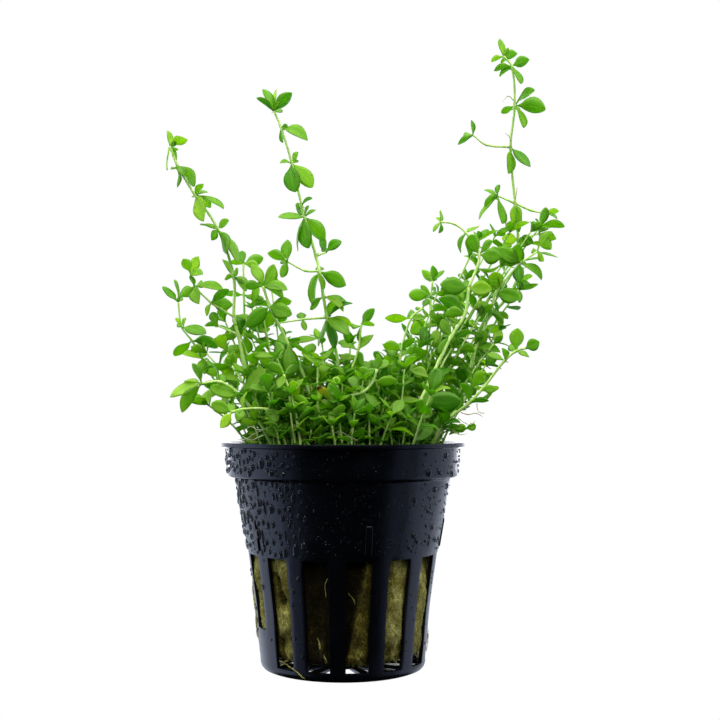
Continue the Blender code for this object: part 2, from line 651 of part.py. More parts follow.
class Port:
    """A three-cornered opening in a node's skin, at some distance from it, where something grows out."""

    def __init__(self, aim, distance, corners, item=None):
        self.aim = aim
        self.distance = distance
        self.corners = corners
        self.item = item

    def places(self, node):
        return [node + self.aim * self.distance + corner for corner in self.corners]


def stem_port(aim, towards, radius, item=None):
    first = (towards - aim * towards.dot(aim)).normalized()
    second = aim.cross(first)
    turns = (0, math.tau / 3, math.tau * 2 / 3)
    corners = [(first * math.cos(turn) + second * math.sin(turn)) * radius for turn in turns]
    return Port(aim, NODE_HALF_HEIGHT, corners, item)


def leaf_port(leaf):
    aim = (leaf.tip - leaf.base).normalized()
    return Port(aim, NODE_HALF_HEIGHT * 1.6, leaf.fold(STALK_SIZE[0], STALK_SIZE[1]), leaf)


def hull(points):
    """The faces of the convex hull of these points: sorted corners, and the corners as they turn."""
    bm = bmesh.new()
    for number, point in enumerate(points):
        bm.verts.new(point).index = number
    bmesh.ops.convex_hull(bm, input=bm.verts)
    bmesh.ops.recalc_face_normals(bm, faces=bm.faces)
    turned = [[vert.index for vert in face.verts] for face in bm.faces]
    bm.free()
    return {tuple(sorted(corners)): corners for corners in turned}


class Skin:
    """The closed skin of one shoot, without the leaves dropped. A face keeps the leaf it belongs to, or None."""

    def __init__(self, dropped):
        self.points = []
        self.faces = []
        self.owners = []
        self.dropped = dropped

    def add(self, points):
        first = len(self.points)
        self.points += points
        return list(range(first, first + len(points)))

    def face(self, corners, owner=None):
        self.faces.append(corners)
        self.owners.append(owner)

    def band(self, lower, upper, owner=None):
        """Joins two three-cornered rings that turn left round the way from lower to upper."""

        def twist(shift):
            ends = [self.points[corner] for corner in upper[shift:] + upper[:shift]]
            return sum((end - self.points[corner]).length_squared for end, corner in zip(ends, lower))

        shift = min(range(3), key=twist)
        upper = upper[shift:] + upper[:shift]
        for number in range(3):
            a, b, c, d = lower[number], lower[(number + 1) % 3], upper[(number + 1) % 3], upper[number]
            if (self.points[c] - self.points[a]).length < (self.points[d] - self.points[b]).length:
                self.face((a, b, c), owner)
                self.face((a, c, d), owner)
            else:
                self.face((a, b, d), owner)
                self.face((b, c, d), owner)

    def grow_leaf(self, stalk, leaf):
        """From its stalk to the blade's widest part, and to a blunt tip."""
        middle = leaf.base.lerp(leaf.tip, 0.58)
        wide = self.add([middle + corner for corner in leaf.fold(leaf.width, LEAF_THICKNESS)])
        self.band(stalk, wide, leaf)
        left, right = self.add([leaf.tip + leaf.across * side * leaf.width * 0.22 for side in (1, -1)])
        sides = [corner.dot(leaf.across) for corner in leaf.fold(1, 1)]
        rib = min(range(3), key=lambda number: abs(sides[number]))
        keel, first, second = wide[rib], wide[(rib + 1) % 3], wide[(rib + 2) % 3]
        if sides[(rib + 1) % 3] < 0:
            left, right = right, left
        for corners in ((keel, first, left), (first, second, right), (first, right, left)):
            self.face(corners, leaf)
        self.face((second, keel, right), leaf)
        self.face((keel, left, right), leaf)

    def grow_node(self, place, ports):
        """The hull of the node's ports, each pushed out until it is one of the hull's faces."""
        for _ in range(12):
            points = [point for port in ports for point in port.places(place)]
            faces = hull(points)
            openings = [(3 * number, 3 * number + 1, 3 * number + 2) for number in range(len(ports))]
            hidden = [port for port, opening in zip(ports, openings) if opening not in faces]
            if not hidden:
                break
            for port in hidden:
                port.distance *= 1.2
        if hidden:
            return None
        numbers = self.add(points)
        for opening in openings:
            faces.pop(opening)
        for corners in faces.values():
            self.face([numbers[corner] for corner in corners])
        return [[numbers[corner] for corner in opening] for opening in openings]

    def grow_stem(self, ring, before, stem, first):
        """Carries the ring from the place before through the stem's nodes."""
        for number in range(first, len(stem.places)):
            place = stem.places[number]
            radius = stem.radius * (1 - STEM_TAPER * number / len(stem.places))
            towards = self.points[ring[0]] - before
            last = number == len(stem.places) - 1
            growth = [item for item in stem.growth[number] if item not in self.dropped]
            if not growth:
                along = stem.direction(number)
                upper = self.add(stem_port(along, towards, radius).places(place))
                self.band(ring, upper)
                ring = upper
                before = place
                continue
            ports = [stem_port((before - place).normalized(), towards, radius)]
            if not last:
                ports.append(stem_port((stem.places[number + 1] - place).normalized(), towards, radius))
            for item in growth:
                if isinstance(item, Leaf):
                    ports.append(leaf_port(item))
                else:
                    aim = (item.places[0] - place).normalized()
                    ports.append(stem_port(aim, Vector((0, 0.3, 1)), item.radius, item))
            rings = self.grow_node(place, ports)
            while rings is None:
                leaves = [port for port in ports if isinstance(port.item, Leaf)]
                worst = max(leaves, key=lambda port: port.distance)
                ports.remove(worst)
                rings = self.grow_node(place, ports)
            self.band(ring, rings[0][::-1])
            for port, opening in zip(ports, rings):
                if isinstance(port.item, Leaf):
                    self.grow_leaf(opening, port.item)
                elif port.item:
                    self.grow_stem(opening, place, port.item, 0)
            if last:
                return
            ring = rings[1]
            before = place
        self.face(ring)

    def crossings(self):
        """How often each leaf crosses another part of the skin."""
        tree = BVHTree.FromPolygons(self.points, self.faces)
        found = {}
        for a, b in tree.overlap(tree):
            if a < b and not set(self.faces[a]) & set(self.faces[b]):
                for owner in {self.owners[a], self.owners[b]} - {None}:
                    found[owner] = found.get(owner, 0) + 1
        return found


def make_shoot(name, stem, home, finish):
    """One closed body grown from a small foot on the plug. A leaf that would cross the rest is left off."""
    dropped = []
    while True:
        skin = Skin(dropped)
        corners = stem_port(Vector((0, 0, 1)), Vector((0.3, -1, 0)), stem.radius).corners
        foot = skin.add([stem.places[0] + corner for corner in corners])
        skin.face(foot[::-1])
        skin.grow_stem(foot, stem.places[0], stem, 1)
        crossings = skin.crossings()
        if not crossings:
            break
        dropped.append(max(crossings, key=crossings.get))
    bm = bmesh.new()
    verts = [bm.verts.new(point) for point in skin.points]
    for corners in skin.faces:
        bm.faces.new([verts[number] for number in corners])
    return add_object(name, bm, home, finish)


def main():
    for obj in list(bpy.data.objects):
        bpy.data.objects.remove(obj)
    home = collection("micranthemum_glomeratum")
    cutters = collection("cutters", shown=False)
    pot = make_pot(home, cutters)
    plug = make_plug(home)
    stems = {name: measured_stem(nodes, STEM_RADIUS) for name, nodes in MEASURED_SHOOTS.items()}
    draw = random.Random(BUSH_SEED)
    for number, (root, tip) in enumerate(BUSH_SHOOTS, 1):
        stems[f"shoot_bush_{number:02d}"] = bush_stem(root, tip, draw)
    bpy.context.view_layer.update()
    graph = bpy.context.evaluated_depsgraph_get()
    placed = []
    for obj in (pot, plug):
        mesh = obj.evaluated_get(graph).to_mesh()
        points = [vert.co / MM for vert in mesh.vertices]
        tree = BVHTree.FromPolygons(points, [tuple(face.vertices) for face in mesh.polygons])
        placed.append((tree, Vector(), 100.0))
    for name, stem in stems.items():
        for branch in all_stems(stem):
            placed += stem_trees(branch, 0)
    for stem in stems.values():
        settle_leaves(stem, placed)
    leaf_green = material("young_leaf", (0.13, 0.36, 0.02), 0.5)
    for name, stem in stems.items():
        make_shoot(name, stem, home, leaf_green)


main()
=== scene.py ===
import math

import bpy
import numpy as np
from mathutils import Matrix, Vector


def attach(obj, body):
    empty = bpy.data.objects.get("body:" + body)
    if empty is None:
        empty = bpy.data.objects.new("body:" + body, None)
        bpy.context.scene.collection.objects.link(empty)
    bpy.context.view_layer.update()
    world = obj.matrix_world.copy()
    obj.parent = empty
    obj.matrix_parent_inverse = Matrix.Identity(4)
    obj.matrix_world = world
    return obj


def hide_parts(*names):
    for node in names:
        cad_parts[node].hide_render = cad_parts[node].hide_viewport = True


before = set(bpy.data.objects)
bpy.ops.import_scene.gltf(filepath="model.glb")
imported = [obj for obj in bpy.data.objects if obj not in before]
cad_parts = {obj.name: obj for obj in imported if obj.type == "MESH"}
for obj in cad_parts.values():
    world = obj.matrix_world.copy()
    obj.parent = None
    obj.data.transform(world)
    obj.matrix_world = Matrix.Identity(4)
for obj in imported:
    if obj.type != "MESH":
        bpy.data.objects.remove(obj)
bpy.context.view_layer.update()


# Camera. It stands level in front of the pot, a little above the rim, as far off as the perspective of the
# rim and the base says. The picture's middle lies to the right of the pot's axis and above eye level.
# EYE_DISTANCE from the axis and EYE_HEIGHT above the base are in mm, as all sizes here but the studio's.
EYE_DISTANCE = 261.0
EYE_HEIGHT = 56.0
FOCAL_PIXELS = 1165.6
IMAGE_PIXELS = 720
AXIS_PIXEL = 343
HORIZON_PIXEL = 415
SENSOR_MM = 36.0
MM = 0.001

camera = bpy.data.objects.new("camera", bpy.data.cameras.new("camera"))
bpy.context.scene.collection.objects.link(camera)
camera.location = (0, -EYE_DISTANCE * MM, EYE_HEIGHT * MM)
camera.rotation_euler = (math.pi / 2, 0, 0)
camera.data.sensor_width = SENSOR_MM
camera.data.lens = FOCAL_PIXELS / IMAGE_PIXELS * SENSOR_MM
camera.data.shift_x = (IMAGE_PIXELS / 2 - AXIS_PIXEL) / IMAGE_PIXELS
camera.data.shift_y = (HORIZON_PIXEL - IMAGE_PIXELS / 2) / IMAGE_PIXELS
camera.data.clip_start = 0.01
bpy.context.scene.camera = camera
bpy.context.scene.view_settings.view_transform = "Standard"


# Studio. A white table and backdrop, tall soft boxes at both sides that run on behind the plant, a large one
# overhead and a weaker one high in front. Nothing bright stands in front at the pot's own height, so the
# middle of the black wall stays black. Sizes are in metres.
def linear(code):
    """A colour from its sRGB hex code. A channel under 0.04045 is divided by 12.92, others take the curve."""
    channels = np.array([int(code[start:start + 2], 16) for start in (1, 3, 5)]) / 255
    curve = np.where(channels <= 0.04045, channels / 12.92, ((channels + 0.055) / 1.055) ** 2.4)
    return (*(float(channel) for channel in curve), 1.0)


def add_node(tree, kind, inputs=None, stops=None, **settings):
    """Adds a shader node with its settings, its ramp's stops, and the values or the links of its inputs. A
    ramp comes with its first and last stop, so these two are given first and those between them after."""
    made = tree.nodes.new("ShaderNode" + kind)
    for name, value in settings.items():
        setattr(made, name, value)
    for number, (place, code) in enumerate(stops or ()):
        points = made.color_ramp.elements
        point = points[number] if number < 2 else points.new(place)
        point.position = place
        point.color = linear(code)
    for name, value in (inputs or {}).items():
        if isinstance(value, bpy.types.NodeSocket):
            tree.links.new(value, made.inputs[name])
        else:
            made.inputs[name].default_value = value
    return made


def soft_box(name, place, aim, size, radiance, code):
    """A rectangular light whose face shines with this radiance."""
    light = bpy.data.lights.new(name, "AREA")
    light.shape = "RECTANGLE"
    light.size, light.size_y = size
    light.energy = radiance * math.pi * size[0] * size[1]
    light.color = linear(code)[:3]
    lamp = bpy.data.objects.new(name, light)
    lamp.location = place
    lamp.rotation_euler = (Vector(aim) - Vector(place)).to_track_quat("-Z", "Y").to_euler()
    bpy.context.scene.collection.objects.link(lamp)


# Each side box has a bearing in degrees from the front, a width and a radiance.
LEFT_BOXES = ((-58, 0.20, 0.38), (-92, 0.44, 1.44), (-140, 0.50, 1.19))
RIGHT_BOXES = ((62, 0.20, 0.38), (100, 0.44, 0.88), (146, 0.44, 1.00))
SIDE_BOX_DISTANCE = 0.55
SIDE_BOX_HEIGHT = 0.04
SIDE_BOX_TALL = 0.8
for bearing, width, radiance in LEFT_BOXES + RIGHT_BOXES:
    turn = math.radians(bearing)
    stand = (SIDE_BOX_DISTANCE * math.sin(turn), -SIDE_BOX_DISTANCE * math.cos(turn), SIDE_BOX_HEIGHT)
    aim = (0, 0, SIDE_BOX_HEIGHT)
    soft_box(f"side_soft_box_{bearing % 360}", stand, aim, (width, SIDE_BOX_TALL), radiance, "#E2EBFF")
soft_box("back_soft_box", (0.0, 0.75, 0.25), (0, 0, 0.09), (1.1, 0.6), 2.8, "#FFFFFF")
soft_box("top_soft_box", (0.0, -0.06, 0.66), (0, 0, 0.08), (1.2, 0.8), 4.3, "#FFFDF6")
soft_box("front_soft_box", (0.0, -0.80, 0.62), (0, 0, 0.10), (1.4, 0.5), 1.8, "#FFFDF6")

# The backdrop is white to the camera, and lights the object only faintly.
world = bpy.data.worlds.new("studio")
bpy.context.scene.world = world
world.use_nodes = True
world.node_tree.nodes.clear()
ray = add_node(world.node_tree, "LightPath")
seen_white = add_node(world.node_tree, "Background", {"Color": (1, 1, 1, 1), "Strength": 1.0})
dim_room = add_node(world.node_tree, "Background", {"Color": (1, 1, 1, 1), "Strength": 0.012})
room = add_node(world.node_tree, "MixShader", {"Fac": ray.outputs["Is Camera Ray"]})
world.node_tree.links.new(dim_room.outputs[0], room.inputs[1])
world.node_tree.links.new(seen_white.outputs[0], room.inputs[2])
add_node(world.node_tree, "OutputWorld", {"Surface": room.outputs[0]})

TABLE_REACH = 4.0
TABLE_TOP = -0.0005
table_corners = [
    (x * TABLE_REACH, y * TABLE_REACH, TABLE_TOP) for x, y in ((-1, -1), (1, -1), (1, 1), (-1, 1))
]
table_mesh = bpy.data.meshes.new("white_table")
table_mesh.from_pydata(table_corners, [], [(0, 1, 2, 3)])
table = bpy.data.objects.new("white_table", table_mesh)
bpy.context.scene.collection.objects.link(table)
lit_acrylic = bpy.data.materials.new("lit_white_acrylic")
lit_acrylic.use_nodes = True
lit_acrylic.node_tree.nodes.clear()
glow = add_node(lit_acrylic.node_tree, "Emission", {"Color": (1, 1, 1, 1), "Strength": 1.0})
add_node(lit_acrylic.node_tree, "OutputMaterial", {"Surface": glow.outputs[0]})
table_mesh.materials.append(lit_acrylic)
table.visible_diffuse = False
table.visible_glossy = False
table.visible_shadow = False


# Net pot. Black polypropylene, injection moulded in one piece: a flat rim, a plain collar, a tapered wall
# with fourteen slots round its lower half, and a floor with a spoke under each rib.
WALL = 0.85
MOULDED_EDGE = 0.16
SLOT_COUNT = 14
SLOT_WIDTH_ANGLE = 15.4
FIRST_SLOT_ANGLE = 9.5
SHORT_SLOTS = (4, 11)
SLOT_TOP = 25.7
SLOT_BOTTOM = 1.9
SHORT_SLOT_BOTTOM = 9.5
FLOOR_OPENING = (4.5, 16.5)
# The outer skin from the edge of the rim to the floor, as radius and height. Its last rings are the floor's.
FLOOR_RINGS = 6
POT_PROFILE = np.array([
    (27.5, 49.15), (26.9, 49.15), (26.3, 49.12), (26.05, 48.9), (26.0, 48.3), (25.9, 46.5), (25.78, 44.6),
    (25.66, 43.2), (25.5, 42.7), (25.1, 42.45), (24.5, 42.35), (24.1, 42.25), (23.9, 42.0), (23.84, 41.4),
    (23.4, 39.0), (23.0, 36.8), (22.6, 34.4), (22.2, 32.0), (21.8, 29.7), (21.4, 27.5), (21.1, 25.7),
    (20.72, 23.0), (20.3, 20.0), (19.9, 17.0), (19.5, 14.0), (19.28, 11.8), (19.1, 9.5), (18.9, 7.0),
    (18.68, 4.6), (18.5, 3.0), (18.42, 1.9), (18.35, 1.2), (18.15, 0.6), (17.8, 0.18), (17.3, 0.0),
    (16.5, 0.0), (13.5, 0.0), (10.5, 0.0), (7.5, 0.0), (4.5, 0.0), (2.0, 0.0),
])


def around(radius, angle, height):
    """Points at these radii and heights, each turned by its angle in degrees from the -Y side to +X."""
    turn = np.radians(angle)
    return np.stack(np.broadcast_arrays(radius * np.sin(turn), -radius * np.cos(turn), height), -1)


def grid_faces(rows, columns, closed):
    """The quads of a grid whose rows go down a surface and whose columns turn left round it."""
    number = np.arange(rows * columns).reshape(rows, columns)
    right = np.roll(number, -1, axis=1) if closed else number[:, 1:]
    left = number if closed else number[:, :-1]
    return np.stack((left[1:], right[1:], right[:-1], left[:-1]), -1)


def make_piece(name, points, faces, finish, replaces=(), corners=None, tones=None):
    """Puts points in mm and arrays of faces into a mesh, with a place on the surface for each corner of a
    face and a tone for each point where they are given, and hangs it on the object's body."""
    mesh = bpy.data.meshes.new(name)
    totals = np.concatenate([np.full(len(part), part.shape[1]) for part in faces])
    mesh.vertices.add(len(points))
    mesh.vertices.foreach_set("co", (points * MM).astype(np.float32).ravel())
    mesh.loops.add(int(totals.sum()))
    mesh.loops.foreach_set("vertex_index", np.concatenate([part.ravel() for part in faces]).astype(np.int32))
    mesh.polygons.add(len(totals))
    mesh.polygons.foreach_set("loop_start", (np.cumsum(totals) - totals).astype(np.int32))
    mesh.polygons.foreach_set("use_smooth", np.ones(len(totals), bool))
    if corners is not None:
        layer = mesh.uv_layers.new(name="surface")
        layer.data.foreach_set("uv", np.concatenate([part.ravel() for part in corners]).astype(np.float32))
    if tones is not None:
        layer = mesh.attributes.new("tone", "FLOAT", "POINT")
        layer.data.foreach_set("value", np.asarray(tones, np.float32))
    mesh.update(calc_edges=True)
    mesh.materials.append(finish)
    piece = bpy.data.objects.new(name, mesh)
    bpy.context.scene.collection.objects.link(piece)
    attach(piece, "root")
    if replaces:
        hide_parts(*replaces)
    return piece


def new_finish(name):
    """A new material, its tree and shader, and the socket that gives a place on the object."""
    finish = bpy.data.materials.new(name)
    finish.use_nodes = True
    place = add_node(finish.node_tree, "TexCoord").outputs["Object"]
    return finish, finish.node_tree, finish.node_tree.nodes["Principled BSDF"], place


# Polypropylene from a polished mould: satin, nearly black with a little blue. Flow marks that run down the
# wall and a thin film of water break its gloss.
black_polypropylene, tree, shader, place = new_finish("black_moulded_polypropylene")
# Flow marks are about 1 mm apart and five times as long. The mould's grain is 0.2 mm.
stretched = add_node(tree, "Mapping", {"Vector": place, "Scale": (1000, 1000, 150)}).outputs[0]
flow = add_node(tree, "TexNoise", {"Vector": stretched, "Scale": 1.0, "Detail": 3.0}).outputs[0]
grain = add_node(tree, "TexNoise", {"Vector": place, "Scale": 5000.0, "Detail": 2.0}).outputs[0]
film = add_node(tree, "TexNoise", {"Vector": place, "Scale": 160.0, "Detail": 3.0}).outputs[0]
tint = add_node(tree, "ValToRGB", {"Fac": flow}, [(0.3, "#020305"), (0.7, "#040509")])
gloss = add_node(
    tree, "MapRange",
    {"Value": film, "From Min": 0.35, "From Max": 0.65, "To Min": 0.22, "To Max": 0.32},
)
ripple = add_node(tree, "Math", {0: flow, 1: 3.0, 2: grain}, operation="MULTIPLY_ADD").outputs[0]
bump = add_node(tree, "Bump", {"Height": ripple, "Strength": 0.16, "Distance": 0.00006})
tree.links.new(tint.outputs[0], shader.inputs["Base Color"])
tree.links.new(gloss.outputs[0], shader.inputs["Roughness"])
tree.links.new(bump.outputs[0], shader.inputs["Normal"])
shader.inputs["IOR"].default_value = 1.49
shader.inputs["Specular Tint"].default_value = linear("#C9D4F4")

pitch = 360 / SLOT_COUNT
across_slot = np.linspace(0, SLOT_WIDTH_ANGLE, 8, endpoint=False)
across_rib = np.linspace(SLOT_WIDTH_ANGLE, pitch, 5, endpoint=False)
steps = np.concatenate((across_slot, across_rib))
slot_starts = FIRST_SLOT_ANGLE - SLOT_WIDTH_ANGLE / 2 + pitch * np.arange(SLOT_COUNT)
angles = (slot_starts[:, None] + steps).ravel()
skin = around(POT_PROFILE[:, :1], angles[None], POT_PROFILE[:, 1:])
quads = grid_faces(len(POT_PROFILE), len(angles), True)
middle_radius = (POT_PROFILE[1:, 0] + POT_PROFILE[:-1, 0]) / 2
middle_height = (POT_PROFILE[1:, 1] + POT_PROFILE[:-1, 1]) / 2
slot_number = np.repeat(np.arange(SLOT_COUNT), len(steps))
in_slot = np.tile(np.arange(len(steps)) < len(across_slot), SLOT_COUNT)
lowest = np.where(np.isin(slot_number, SHORT_SLOTS), SHORT_SLOT_BOTTOM, SLOT_BOTTOM)
in_wall = (middle_height[:, None] > lowest) & (middle_height[:, None] < SLOT_TOP)
in_floor = (middle_height < 0.01) & (middle_radius > FLOOR_OPENING[0]) & (middle_radius < FLOOR_OPENING[1])
kept = ~(in_slot & (in_wall | in_floor[:, None]))
last_ring = len(angles) * (len(POT_PROFILE) - 1) + np.arange(len(angles))
pole = np.full(len(angles), skin.shape[0] * skin.shape[1])
fan = np.stack((np.roll(last_ring, -1), last_ring, pole), -1)
pot_points = np.concatenate((skin.reshape(-1, 3), [(0, 0, 0)]))
pot_faces = [quads[kept], fan]
pot = make_piece("moulded_net_pot", pot_points, pot_faces, black_polypropylene, ("net_pot",))
wall = pot.modifiers.new("wall", "SOLIDIFY")
wall.thickness = WALL * MM
wall.offset = -1
wall.use_even_offset = True
edges = pot.modifiers.new("moulded_edges", "BEVEL")
edges.width = MOULDED_EDGE * MM
edges.segments = 2
edges.limit_method = "ANGLE"
edges.angle_limit = math.radians(40)


def wall_radius(height):
    """The radius of the pot's outer skin at these heights, read off its profile from the base up."""
    rising = POT_PROFILE[:-FLOOR_RINGS][::-1]
    return np.interp(height, rising[:, 1], rising[:, 0])


SAG = 0.3


def domes(centre, right, up, out, size, narrowing, exponent, rings, sides):
    """Closed low domes of these half widths, half heights and rises. Each ring is a superellipse whose sine
    and cosine are raised to the exponent, narrowed towards its upper end, and sagging by SAG of the
    narrowing. A ring is a (share of the outline, share of the rise), and the first lies under the wall."""
    turn = np.linspace(0, math.tau, sides, endpoint=False)
    wide = np.sign(np.sin(turn)) * np.abs(np.sin(turn)) ** exponent
    tall = np.sign(np.cos(turn)) * np.abs(np.cos(turn)) ** exponent
    outline, lifted = np.array(rings).T[:, None, :, None]
    half_width, half_height, full_rise = size.T[:, :, None, None]
    narrow = narrowing[:, None, None]
    x = half_width * outline * wide * (1 - narrow * (0.5 + 0.5 * tall))
    z = half_height * (outline * tall - narrow * lifted * SAG)
    rise = full_rise * lifted + 0 * x
    parts = [axis[:, None, None] * amount[..., None] for axis, amount in ((right, x), (up, z), (out, rise))]
    body = centre[:, None, None] + sum(parts)
    top = centre + out * size[:, 2:] - up * (size[:, 1] * narrowing * SAG)[:, None]
    base = centre + out * size[:, 2:] * rings[0][1]
    count = len(centre)
    each = len(rings) * sides
    points = np.concatenate((body.reshape(count, each, 3), top[:, None], base[:, None]), 1)
    ring = np.arange(sides)
    following = np.roll(ring, -1)
    bands = [np.stack((ring + a, following + a, following + a + sides, ring + a + sides), -1)
             for a in range(0, each - sides, sides)]
    quads = np.concatenate(bands)[:, ::-1]
    last = each - sides
    caps = np.concatenate((
        np.stack((following + last, ring + last, np.full(sides, each)), -1),
        np.stack((ring, following, np.full(sides, each + 1)), -1),
    ))
    shift = (np.arange(count) * (each + 2))[:, None, None]
    return points.reshape(-1, 3), [(quads + shift).reshape(-1, 4), (caps + shift).reshape(-1, 3)]


# Five small fins stand out of the wall, which keep stacked pots from jamming. Their size is half the width,
# half the height and how far they stand out.
FIN_COUNT = 5
FIRST_FIN_ANGLE = 14.0
FIN_HEIGHT = 30.0
FIN_SIZE = (0.75, 3.25, 0.32)
WALL_FOOT = (21.1, 25.7)
WALL_HEAD = (23.9, 42.1)
slope = math.atan2(WALL_HEAD[0] - WALL_FOOT[0], WALL_HEAD[1] - WALL_FOOT[1])


def wall_frame(angle, height):
    """The place on the wall, and its directions to the right, up the wall and out of it."""
    out_flat = around(1.0, angle, 0.0)
    right = around(1.0, angle + 90, 0.0)
    up = np.array((0, 0, 1)) * math.cos(slope) + out_flat * math.sin(slope)
    out = out_flat * math.cos(slope) - np.array((0, 0, 1)) * math.sin(slope)
    return around(wall_radius(height), angle, height), right, up, out


fin_angles = FIRST_FIN_ANGLE + 360 / FIN_COUNT * np.arange(FIN_COUNT)
fin_place = wall_frame(fin_angles, np.full(FIN_COUNT, FIN_HEIGHT))
fin_sizes = np.tile(FIN_SIZE, (FIN_COUNT, 1))
fin_rings = [(1.0, -0.8), (1.0, 0.5), (0.98, 0.78), (0.92, 0.96), (0.85, 1.0), (0.5, 1.0)]
fin_points, fin_faces = domes(*fin_place, fin_sizes, np.zeros(FIN_COUNT), 0.3, fin_rings, 24)
make_piece("pot_stacking_fins", fin_points, fin_faces, black_polypropylene)


# Water beads. The pot has just come out of a wet tray, so drops stand on its wall, thickest on the left, with
# a few that have run. They are part of how this pot looks and cling to its wall.
water, tree, shader, place = new_finish("clinging_water")
# A drop is smooth but for a faint ripple about 0.5 mm long, and dust makes some parts a little duller.
ripple = add_node(tree, "TexNoise", {"Vector": place, "Scale": 2000.0, "Detail": 1.0}).outputs[0]
bump = add_node(tree, "Bump", {"Height": ripple, "Strength": 0.1, "Distance": 0.00005})
dust = add_node(tree, "MapRange", {"Value": ripple, "To Min": 0.0, "To Max": 0.05})
tree.links.new(bump.outputs[0], shader.inputs["Normal"])
tree.links.new(dust.outputs[0], shader.inputs["Roughness"])
# The drop's clear water is tinted grey, a painted shade that stands in for the black wall seen through it, so
# it is dark between its highlights.
shader.inputs["Base Color"].default_value = linear("#6E7884")
shader.inputs["IOR"].default_value = 1.333
shader.inputs["Transmission Weight"].default_value = 1.0

draw = np.random.default_rng(5)
# Groups of drops: how many are tried, the range of angles, of heights and of half widths, and how many times
# as long as wide the longest are.
BEAD_GROUPS = [
    (400, (-104, -20), (26.5, 42.0), (0.36, 0.88), 2.2),
    (130, (-104, -22), (43.6, 48.4), (0.34, 0.72), 1.7),
    (70, (-108, -26), (3.0, 25.0), (0.22, 0.48), 2.0),
    (24, (36, 84), (27.0, 48.2), (0.36, 0.66), 1.25),
    (380, (-110, -20), (26.5, 48.6), (0.12, 0.30), 1.3),
    (330, (-24, 38), (27.0, 48.4), (0.09, 0.22), 1.3),
    (36, (-24, 38), (27.0, 42.0), (0.16, 0.28), 2.0),
    (330, (30, 112), (26.5, 48.6), (0.10, 0.28), 1.3),
    (90, (30, 110), (2.5, 25.0), (0.10, 0.26), 1.5),
    (330, (112, 250), (26.5, 48.6), (0.10, 0.45), 1.4),
]
# Drops that have run: angle, height of the middle, half width and half length.
RUNS = [
    (-50, 40.2, 0.42, 1.5), (-58, 46.3, 0.35, 1.5), (-41, 45.9, 0.75, 1.15), (-46, 36.6, 0.45, 1.7),
    (-51, 29.4, 0.5, 2.6), (-52, 26.9, 0.5, 0.8), (-36, 38.9, 0.35, 0.9), (-33, 31.0, 0.4, 1.2),
    (-60, 33.6, 0.4, 1.1), (-27, 33.0, 0.22, 0.9), (44, 43.9, 0.75, 0.8), (52, 44.0, 0.6, 0.6),
    (40, 38.2, 0.55, 0.62), (58, 28.6, 0.4, 0.7), (-49, 23.2, 0.45, 1.1), (-50, 16.6, 0.4, 0.9),
]
# No drop stands on the step below the collar, nor over a slot.
LEDGE = (42.0, 43.2)
drops = [np.array(RUNS)]
for count, angles_between, heights_between, widths_between, longest in BEAD_GROUPS:
    half_width = widths_between[0] + (widths_between[1] - widths_between[0]) * draw.random(count) ** 1.5
    half_length = half_width * (1 + (longest - 1) * draw.random(count) ** 1.4)
    angle = draw.uniform(*angles_between, count)
    height = draw.uniform(*heights_between, count)
    drops.append(np.stack((angle, height, half_width, half_length), -1))
drops = np.concatenate(drops)
angle, height, half_width, half_length = drops.T
ledge = (height > LEDGE[0]) & (height < LEDGE[1])
slot_phase = (angle - FIRST_SLOT_ANGLE + pitch / 2) % pitch - pitch / 2
over_slot = (height < SLOT_TOP + 0.6) & (np.abs(slot_phase) < SLOT_WIDTH_ANGLE / 2 + 1.6)
# A drop that would touch one tried before it has run into it, so it is left out.
flat = np.stack((np.radians(angle) * wall_radius(height), height), -1)
apart = flat[:, None] - flat[None]
reach = np.stack((half_width[:, None] + half_width, half_length[:, None] + half_length), -1)
touching = np.tril(((apart / reach) ** 2).sum(-1) < 1.1, -1)
stays = ~(ledge | over_slot)
for number in range(len(drops)):
    stays[number] &= not (touching[number] & stays).any()
angle, height, half_width, half_length = drops[stays].T
# A drop rises a little less than its half width, and a long one is narrower at its upper end.
rise = 0.72 * half_width
narrowing = np.clip(0.32 * (half_length / half_width - 1), 0, 0.45)
bead_size = np.stack((half_width, half_length, rise), -1)
bead_rings = [(0.96, -0.15), (1.0, 0.10), (0.93, 0.45), (0.72, 0.78), (0.4, 0.95)]
bead_points, bead_faces = domes(*wall_frame(angle, height), bead_size, narrowing, 1.0, bead_rings, 12)
make_piece("water_beads", bead_points, bead_faces, water)


# Plug. A block of mineral wool packed into the pot, matted and wet. It swells a little into the slots, has
# folds and hollows where the mat was torn, painted darker as shade, and frays along its lower edge.
def lattice_noise(points, size, seed):
    """Smooth noise from -1 to 1: a random value at each corner of a lattice, blended by 3t² - 2t³."""
    scaled = points / size
    cell = np.floor(scaled).astype(np.int64)
    part = scaled - cell
    part = part * part * (3 - 2 * part)
    total = 0.0
    for corner in np.ndindex(2, 2, 2):
        key = ((cell + np.array(corner)) * np.array((73856093, 19349663, 83492791))).sum(-1) + seed * 7919
        key = (key ^ (key >> 13)) * 1274126177 % 4294967296
        weight = np.where(corner, part, 1 - part).prod(-1)
        total = total + weight * (((key ^ (key >> 16)) % 65536) / 32767.5 - 1)
    return total


# Melted rock spun to fibres and pressed: dull, straw coloured where dry and dark brown where soaked. Hollows
# and deep slots are painted darker still, as painted shade.
mineral_wool, tree, shader, place = new_finish("wet_mineral_wool")
